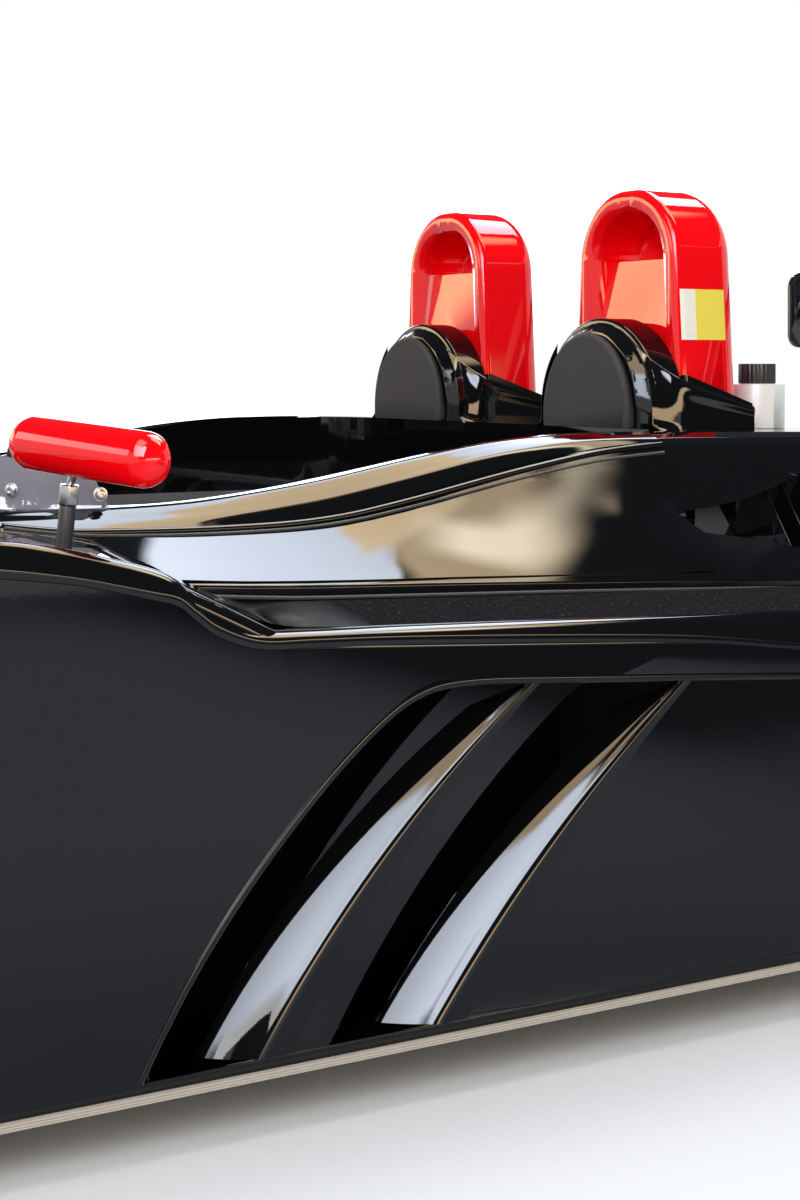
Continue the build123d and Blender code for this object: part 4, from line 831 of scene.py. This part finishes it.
def ribbed_cap():
    """Screw cap with ribs for the fingers round its side."""
    deselect()
    bpy.ops.mesh.primitive_cylinder_add(
        vertices=CAP_SIDES, radius=CAP_RADIUS, depth=CAP_TOP_Z - CAP_FOOT_Z,
        location=(*BOTTLE_PLACE, (CAP_FOOT_Z + CAP_TOP_Z) / 2))
    cap = new_piece("bottle_cap")
    for vertex in cap.data.vertices:
        if round(math.atan2(vertex.co.y, vertex.co.x) / math.tau * CAP_SIDES) % 3 == 0:
            vertex.co.xy *= CAP_GROOVE
    bpy.ops.object.transform_apply()
    modified(cap, "BEVEL", width=0.8 * MM, segments=2)
    smooth(30)
    return cap


def wheel_nuts(end, side):
    """Ring of nuts and the valve on one wheel's face."""
    axle_x, axle_z = AXLES[end]
    way = 1 if side == "left" else -1
    surface = surface_of("rim_%s_%s" % (end, side))
    inward = Vector((0, -way, 0))
    pieces = []
    parts = [(math.tau * (n + 0.5) / NUT_COUNT, NUT) for n in range(NUT_COUNT)] + [(math.pi / 2, VALVE)]
    for angle, (circle, sink, stand, radius, sides, edge) in parts:
        start = Vector((axle_x + circle * math.cos(angle), way * OUTSIDE_Y, axle_z + circle * math.sin(angle)))
        seat = hit(surface, start, inward, OUTSIDE_REACH)[0]
        pieces.append(turned("nut", seat + inward * sink, seat - inward * stand, radius, sides, edge))
    return joined("wheel_nuts_%s_%s" % (end, side), pieces)


def vent_line(corners, number):
    """The three points of a vent's line, moved back and down for the vent's number."""
    back, drop = number * VENT_PITCH, number * VENT_DROP
    (foot_x, foot_z), *rest = corners
    return [(foot_x - back, foot_z)] + [(x - back, z - drop) for x, z in rest]


def ramp(number):
    """Smooth skin over one vent's ramp, rounded at the crease and run out into the flank."""
    lead_line, crease_line = vent_line(VENT_LEAD, number), vent_line(VENT_CREASE, number)
    outer = FLANK_Y - VENT_RECESS
    rows = []
    for n in range(RAMP_ROWS + 1):
        share = n / RAMP_ROWS
        lead_x, lead_z = arc_point(lead_line, share)
        crease_x, crease_z = arc_point(crease_line, share)
        crease = Vector((crease_x, outer, crease_z))
        close = min(max((share - RAMP_CLOSE) / (1 - RAMP_CLOSE), 0), 1) ** RAMP_EASE
        lead = crease.lerp(Vector((lead_x, outer, lead_z)), 1 - RAMP_NARROW * close)
        lead.y -= VENT_DEPTH * (1 - RAMP_SHALLOW * close)
        rise = (crease - lead).normalized()
        level = Vector((rise.x, 0, rise.z)).normalized()
        face = Vector((-rise.x * rise.y, 1 - rise.y ** 2, -rise.z * rise.y)).normalized()
        corner = crease + (face + Vector((0, 1, 0))).normalized() * RAMP_SKIN
        start = lead + face * RAMP_SKIN
        turn_in, turn_out = corner - rise * RAMP_ROUND, corner + level * RAMP_ROUND
        across = []
        for step in range(RAMP_FACE):
            t = step / RAMP_FACE
            across.append(start.lerp(turn_in, t) + face * RAMP_CROWN * math.sin(math.pi * t))
        for step in range(RAMP_TURN + 1):
            t = step / RAMP_TURN
            across.append(turn_in * (1 - t) ** 2 + corner * 2 * t * (1 - t) + turn_out * t ** 2)
        end = crease + level * (RAMP_ROUND + RAMP_RUN_OUT) - Vector((0, RAMP_TUCK, 0))
        across += [turn_out.lerp(end, step / RAMP_RUN) for step in range(1, RAMP_RUN + 1)]
        rows.append(across)
    return skin("vent_ramp_%d_left" % (number + 1), rows, RAMP_WALL)


class SPORTSRACER_OT_bodywork(bpy.types.Operator):
    """Dress the body panels and add their beads and seals"""
    bl_idname = "sportsracer.bodywork"
    bl_label = "Bodywork"

    def execute(self, context):
        """Makes the body's pieces on the left, and their mirror images."""
        sizes = context.scene.sports_racer_sizes
        dress_nodes(("front_clam", "rear_clam", "surround", "side_panel_left", "side_panel_right"), 28)
        dress_nodes(("floor_board",))
        lip = [(x, FLANK_Y - LIP_DEPTH, z) for x, z in FIELD_ROUTE]
        joint = [(x, JOINT_Y, z) for x, z in JOINT_ROUTE]
        roll = [(x, y + ROLL_LIFT, z + ROLL_LIFT) for x, y, z, _ in SLOPE_ROWS]
        seal = [(x, y + SEAL_DOWN, z - SEAL_DOWN * (z - foot) / (SLOPE_FOOT_Y - y))
                for x, y, z, foot in SLOPE_ROWS]
        for name, places, radius, slot in (
                ("vent_lip_left", lip, sizes.field_lip_radius, "black_gelcoat"),
                ("ledge_seal_left", joint, sizes.joint_radius, "seal_rubber"),
                ("rim_roll_left", roll, ROLL_RADIUS, "black_gelcoat"),
                ("rim_seal_left", seal, SEAL_RADIUS, "seal_rubber")):
            dress_pair(swept(name, places, radius), slot)
        for left in [bead(), slope(), rim()] + [ramp(number) for number in range(VENT_COUNT)]:
            dress_pair(left, "black_gelcoat")
        dress_pair(ledge(), "black_gelcoat", finish="dusty_gelcoat")
        return {"FINISHED"}


class SPORTSRACER_OT_hoops(bpy.types.Operator):
    """Dress the roll hoop covers, headrest hoods and pads"""
    bl_idname = "sportsracer.hoops"
    bl_label = "Hoops and headrests"

    def execute(self, context):
        """Dresses the hoops, hoods and pads, and adds the hoods' cheeks and the label."""
        dress_nodes(("hoop_cover_left", "hoop_cover_right", "hood_left", "hood_right"), 32)
        for node in ("pad_left", "pad_right"):
            pad = smooth_copy(node, 50)
            dress(pad, "root", SLOT_OF[node], (node,))
        dress_pair(fairing("hood_fairing_outer_left", 1), "black_gelcoat")
        dress_pair(fairing("hood_fairing_inner_left", -1), "black_gelcoat")
        dress(hoop_label("hoop_label_pale", *LABEL_X[:2]), "root", "label_film", finish="label_pale")
        dress(hoop_label("hoop_label_yellow", *LABEL_X[1:]), "root", "label_film")
        return {"FINISHED"}


class SPORTSRACER_OT_cockpit(bpy.types.Operator):
    """Dress the tub, seats, steering wheel, screen, mirrors and bottle"""
    bl_idname = "sportsracer.cockpit"
    bl_label = "Cockpit"

    def execute(self, context):
        """Dresses the cockpit, and adds the bottle's cap, the screen's screws and the mirrors."""
        dress_nodes(("tub", "seat_left", "seat_right", "steering_wheel", "column_tube", "windscreen"))
        dress_nodes(("bottle",), 40)
        dress(ribbed_cap(), "root", "cap_nylon")
        self.screen_screws(context.scene.sports_racer_sizes.screw_radius)
        self.mirrors()
        return {"FINISHED"}

    def screen_screws(self, radius):
        """Screws on washers that hold the screen's ends."""
        surface = surface_of("windscreen")
        for number, (x, z) in enumerate(SCREEN_SCREWS):
            seat, facing = hit(surface, Vector((x, OUTSIDE_Y, z)), Vector((0, -1, 0)), OUTSIDE_REACH)
            washer = turned("washer", seat, seat + facing * MM, radius * 1.4, 32, 0.3 * MM)
            head = screw(seat + facing * 2.8 * MM, facing, radius)
            dress_pair(joined("screen_screw_%d_left" % number, (washer, head)), "screw_steel")

    def mirrors(self):
        """Mirror pods with their glass, on stalks that are clamped and end in a neck."""
        pod, glass = mirror_pod()
        foot, head = Vector(STALK_FOOT), Vector(STALK_HEAD)
        up = (head - foot).normalized()
        dress_pair(pod, "red_gelcoat", "mirror")
        dress_pair(glass, "red_gelcoat", finish="mirror_glass")
        for name, start, end, radius, sides, edge, finish in STALK_PARTS:
            part = turned("mirror_%s_left" % name, foot + up * start, foot + up * end, radius, sides, edge)
            dress_pair(part, "suspension_steel", finish=finish)
        neck = turned("mirror_neck_left", foot + up * NECK_START, head.lerp(Vector(MIRROR_PLACE), NECK_SHARE),
                      NECK_RADIUS, 20, 0.6 * MM)
        dress_pair(neck, "suspension_steel", finish="screw_steel")


class SPORTSRACER_OT_wheels(bpy.types.Operator):
    """Dress the wheels and tyres"""
    bl_idname = "sportsracer.wheels"
    bl_label = "Wheels"

    def execute(self, context):
        """Dresses each wheel and its tyre, and adds its nuts."""
        for wheel in ("front_left", "front_right", "rear_left", "rear_right"):
            dress_nodes(("tyre_" + wheel, "rim_" + wheel), 35)
            dress(wheel_nuts(*wheel.split("_")), "wheel_" + wheel, "screw_steel")
        return {"FINISHED"}


class SPORTSRACER_OT_chassis(bpy.types.Operator):
    """Dress the running gear, engine, wing, lamps and tail"""
    bl_idname = "sportsracer.chassis"
    bl_label = "Chassis and wing"

    def execute(self, context):
        """Dresses every node that nothing stands for yet, and adds the headlamps' insides."""
        done = {name for piece in bpy.data.objects for name in piece.get("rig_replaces", ())}
        dress_nodes([node for node in frame["nodes"] if node not in done])
        for number, place in enumerate(LAMP_PLACES):
            for part, start, end, radius, finish in LAMP_PARTS:
                name = "headlamp_%s_%d_left" % (part, number)
                middle, ahead = Vector(place), Vector((1, 0, 0))
                bar = turned(name, middle + ahead * start, middle + ahead * end, radius, 48, 3 * MM)
                dress_pair(bar, finish)
        return {"FINISHED"}


# Camera that matches the photograph's view: its place, its turn in degrees, its focal length and the
# frame's height and horizon in pixels, and its sensor in mm
EYE = Vector((1.4387, 2.652, 0.803))
EYE_TURN = 149.2
FOCAL_PIXELS = 1991
FRAME_HEIGHT, HORIZON_ROW = 1200, 366
SENSOR = 36.0

# Floor: its radius, and the distances between which it fades into the white surroundings
FLOOR_RADIUS, FLOOR_FADE = 14.0, (3.2, 9.0)
# How much light comes from all round
WORLD_LEVEL = 0.76

# Soft lamps for the plain light: name, place, aim, width, height, radiance, colour
LAMPS = (
    ("key", (4.2, 4.6, 3.6), (0.0, 0.3, 0.5), 2.6, 2.6, 8.2, "ffffff"),
    ("top", (-0.4, 0.2, 4.2), (-0.4, 0.2, 0.5), 3.2, 2.4, 3.4, "f6f9ff"),
    ("fill", (-4.6, -4.2, 3.4), (0.0, 0.0, 0.5), 3.0, 2.6, 1.8, "fff8ee"),
)

# Reflection cards, which only gloss shows. Polished black shows nothing but what it reflects, so
# they give it its shapes: name, place, aim, width, height, radiance, colour, soft edge, dim side
CARDS = (
    ("dark_ceiling", (0.0, 0.0, 4.4), (0.0, 0.0, 0.0), 16.0, 16.0, 0.10, "c8d4e6", 0.02, 1.0),
    ("dark_wall", (0.8, 7.5, 2.6), (0.4, 0.0, 1.0), 12.0, 3.4, 0.10, "c8d4e6", 0.05, 1.0),
    ("dark_floor", (-2.2, 3.7, 0.03), (-2.2, 3.7, 3.0), 2.9, 4.0, 0.10, "c8d4e6", 0.35, 1.0),
    ("floor_dim", (0.9, 3.2, 0.015), (0.9, 3.2, 3.0), 6.6, 4.8, 0.45, "dfe6f4", 0.05, 1.0),
    ("floor_front", (0.15, 2.9, 0.045), (0.15, 2.9, 3.0), 2.8, 4.6, 0.85, "dfe6f4", 0.6, 1.0),
    ("dark_side", (-4.4, 4.6, 1.5), (-0.4, 0.4, 0.9), 4.4, 2.8, 0.10, "c8d4e6", 0.10, 1.0),
    ("gold_horizon", (-0.6, 5.4, 1.02), (0.2, 0.8, 0.5), 7.0, 0.75, 9.0, "ffdcae", 0.45, 1.0),
    ("ramp_sky", (2.14, 2.39, 2.36), (0.35, 0.79, 0.25), 2.4, 2.5, 18.5, "e6f0ff", 0.22, 0.42),
    ("ramp_tan", (1.12, 1.25, 2.62), (0.2, 0.79, 0.42), 1.3, 1.3, 6.0, "ffe2b8", 0.4, 1.0),
    ("slope_sky", (-1.17, -0.28, 3.00), (0.25, 0.7, 0.6), 1.25, 1.9, 10.5, "e6f0ff", 0.12, 1.0),
    ("slope_tan", (-1.36, 0.87, 3.04), (0.1, 0.62, 0.58), 1.19, 1.2, 6.4, "ffe2b8", 0.35, 1.0),
    ("slope_gold", (-1.06, 0.96, 2.45), (0.0, 1.95, 0.50), 1.15, 0.34, 15.0, "fff0d2", 0.75, 1.0),
    ("rim_tan", (-0.62, 0.60, 2.88), (0.25, 0.54, 0.66), 0.95, 0.72, 9.5, "ffe2b8", 0.25, 1.0),
    ("far_sky", (-1.5, -3.9, 1.5), (0.65, 0.71, 0.60), 5.0, 1.5, 7.0, "e6f0ff", 0.2, 1.0),
    ("mirror_sky", (3.30, -0.35, 1.95), (0.65, 0.72, 0.73), 2.2, 1.2, 5.0, "fff4f2", 0.35, 1.0),
    ("hoop_warm", (2.9, -4.2, 1.75), (-0.42, 0.26, 0.93), 2.4, 1.7, 8.0, "ffd9a6", 0.4, 1.0),
)


class SPORTSRACER_OT_stage(bpy.types.Operator):
    """Set up the floor, soft lamps, white surroundings and the camera"""
    bl_idname = "sportsracer.stage"
    bl_label = "Stage"

    def execute(self, context):
        """Makes all that isn't the car."""
        scene = context.scene
        data = bpy.data.cameras.new("camera")
        data.sensor_width = SENSOR
        data.lens = SENSOR * FOCAL_PIXELS / FRAME_HEIGHT
        data.shift_y = (HORIZON_ROW - FRAME_HEIGHT / 2) / FRAME_HEIGHT
        camera = bpy.data.objects.new("camera", data)
        camera.location = EYE
        camera.rotation_euler = (math.radians(90), 0, math.radians(EYE_TURN))
        scene.collection.objects.link(camera)
        scene.camera = camera
        for name, place, aim, width, height, radiance, tone in LAMPS:
            lamp = bpy.data.lights.new(name, "AREA")
            lamp.shape = "RECTANGLE"
            lamp.size, lamp.size_y = width, height
            lamp.energy = radiance * math.pi * width * height
            lamp.color = linear(tone)[:3]
            stand = bpy.data.objects.new(name, lamp)
            stand.location = place
            stand.rotation_euler = (Vector(place) - Vector(aim)).to_track_quat("Z", "Y").to_euler()
            stand.visible_camera = False
            stand.visible_glossy = name == "key"
            scene.collection.objects.link(stand)
        for row in CARDS:
            self.card(*row)
        self.floor(context)
        self.surroundings(context)
        scene.view_settings.view_transform = "Standard"
        return {"FINISHED"}

    def card(self, name, place, aim, width, height, radiance, tone, soft, dim):
        """A glowing or dark card with soft edges that only glossy reflections show."""
        deselect()
        turn = (Vector(aim) - Vector(place)).to_track_quat("Z", "Y").to_euler()
        bpy.ops.mesh.primitive_plane_add(size=1.0, location=place, rotation=turn)
        card = new_piece(name)
        card.scale = (width, height, 1.0)
        material = bpy.data.materials.new(name)
        material.use_nodes = True
        tree = material.node_tree
        tree.nodes.clear()
        split = add(tree, "SeparateXYZ", {0: add(tree, "TexCoord").outputs["Object"]})
        fades = []
        for axis in ("X", "Y"):
            far = add(tree, "Math", {0: split.outputs[axis]}, operation="ABSOLUTE")
            fades.append(add(tree, "MapRange", {0: far, 1: 0.5 - soft / 2, 2: 0.5, 3: 1.0, 4: 0.0},
                             interpolation_type="SMOOTHSTEP"))
        both = add(tree, "Math", {0: fades[0], 1: fades[1]}, operation="MULTIPLY")
        lean = add(tree, "MapRange", {0: split.outputs["X"], 1: -0.5, 2: 0.5, 3: radiance, 4: radiance * dim})
        glow = add(tree, "Emission", {"Color": linear(tone), "Strength": lean})
        blend = add(tree, "MixShader", {0: both, 1: add(tree, "BsdfTransparent"), 2: glow})
        add(tree, "OutputMaterial", {"Surface": blend})
        card.data.materials.append(material)
        for ray in ("camera", "diffuse", "transmission", "volume_scatter", "shadow"):
            setattr(card, "visible_" + ray, False)

    def floor(self, context):
        """Pale painted floor that turns white where it is far away."""
        deselect()
        bpy.ops.mesh.primitive_circle_add(vertices=64, radius=FLOOR_RADIUS, fill_type="NGON")
        floor = new_piece("studio_floor")
        colours = context.scene.sports_racer_colours
        material, tree, shader, place = start_material("painted_floor", colours.floor, 0.6)
        grain(tree, shader, place, 30 * MM, 0.2 * MM)
        reach = add(tree, "VectorMath", {0: place}, operation="LENGTH").outputs["Value"]
        far = add(tree, "MapRange", {0: reach, 1: FLOOR_FADE[0], 2: FLOOR_FADE[1]})
        glow = add(tree, "Emission", {"Color": (1, 1, 1, 1), "Strength": 1.0})
        blend = add(tree, "MixShader", {0: far, 1: shader, 2: glow})
        tree.links.new(blend.outputs[0], tree.nodes["Material Output"].inputs["Surface"])
        floor.data.materials.append(material)

    def surroundings(self, context):
        """White for the camera, gloss and glass, and a softer light for all else."""
        world = bpy.data.worlds.new("white_studio")
        context.scene.world = world
        world.use_nodes = True
        tree = world.node_tree
        tree.nodes.clear()
        path = add(tree, "LightPath").outputs
        first = add(tree, "Math", {0: path["Is Camera Ray"], 1: path["Is Glossy Ray"]}, operation="MAXIMUM")
        seen = add(tree, "Math", {0: first, 1: path["Is Transmission Ray"]}, operation="MAXIMUM")
        strength = add(tree, "MapRange", {0: seen, 3: WORLD_LEVEL, 4: 1.0})
        sky = add(tree, "Background", {"Color": (1, 1, 1, 1), "Strength": strength})
        add(tree, "OutputWorld", {"Surface": sky})


class SPORTSRACER_PT_panel(bpy.types.Panel):
    """Lists the car's sizes and colours and the steps that dress it"""
    bl_label = "Sports Racer"
    bl_idname = "SPORTSRACER_PT_panel"
    bl_space_type = "VIEW_3D"
    bl_region_type = "UI"
    bl_category = "Sports Racer"

    def draw(self, context):
        """The sizes and colours, and one button for each step."""
        for group in (context.scene.sports_racer_sizes, context.scene.sports_racer_colours):
            for name in type(group).__annotations__:
                self.layout.prop(group, name)
        for step in STEPS:
            self.layout.operator(step.bl_idname)


STEPS = (
    SPORTSRACER_OT_bodywork,
    SPORTSRACER_OT_hoops,
    SPORTSRACER_OT_cockpit,
    SPORTSRACER_OT_wheels,
    SPORTSRACER_OT_chassis,
    SPORTSRACER_OT_stage,
)
CLASSES = (SportsRacerSizes, SportsRacerColours) + STEPS + (SPORTSRACER_PT_panel,)


def register():
    """Makes the classes and the scene's settings known."""
    for item in CLASSES:
        bpy.utils.register_class(item)
    bpy.types.Scene.sports_racer_sizes = bpy.props.PointerProperty(type=SportsRacerSizes)
    bpy.types.Scene.sports_racer_colours = bpy.props.PointerProperty(type=SportsRacerColours)


def unregister():
    """Takes them out again."""
    del bpy.types.Scene.sports_racer_colours
    del bpy.types.Scene.sports_racer_sizes
    for item in reversed(CLASSES):
        bpy.utils.unregister_class(item)


def main():
    """Dresses the car step by step."""
    register()
    bpy.ops.sportsracer.bodywork()
    bpy.ops.sportsracer.hoops()
    bpy.ops.sportsracer.cockpit()
    bpy.ops.sportsracer.wheels()
    bpy.ops.sportsracer.chassis()
    bpy.ops.sportsracer.stage()


if __name__ == "__main__":
    main()
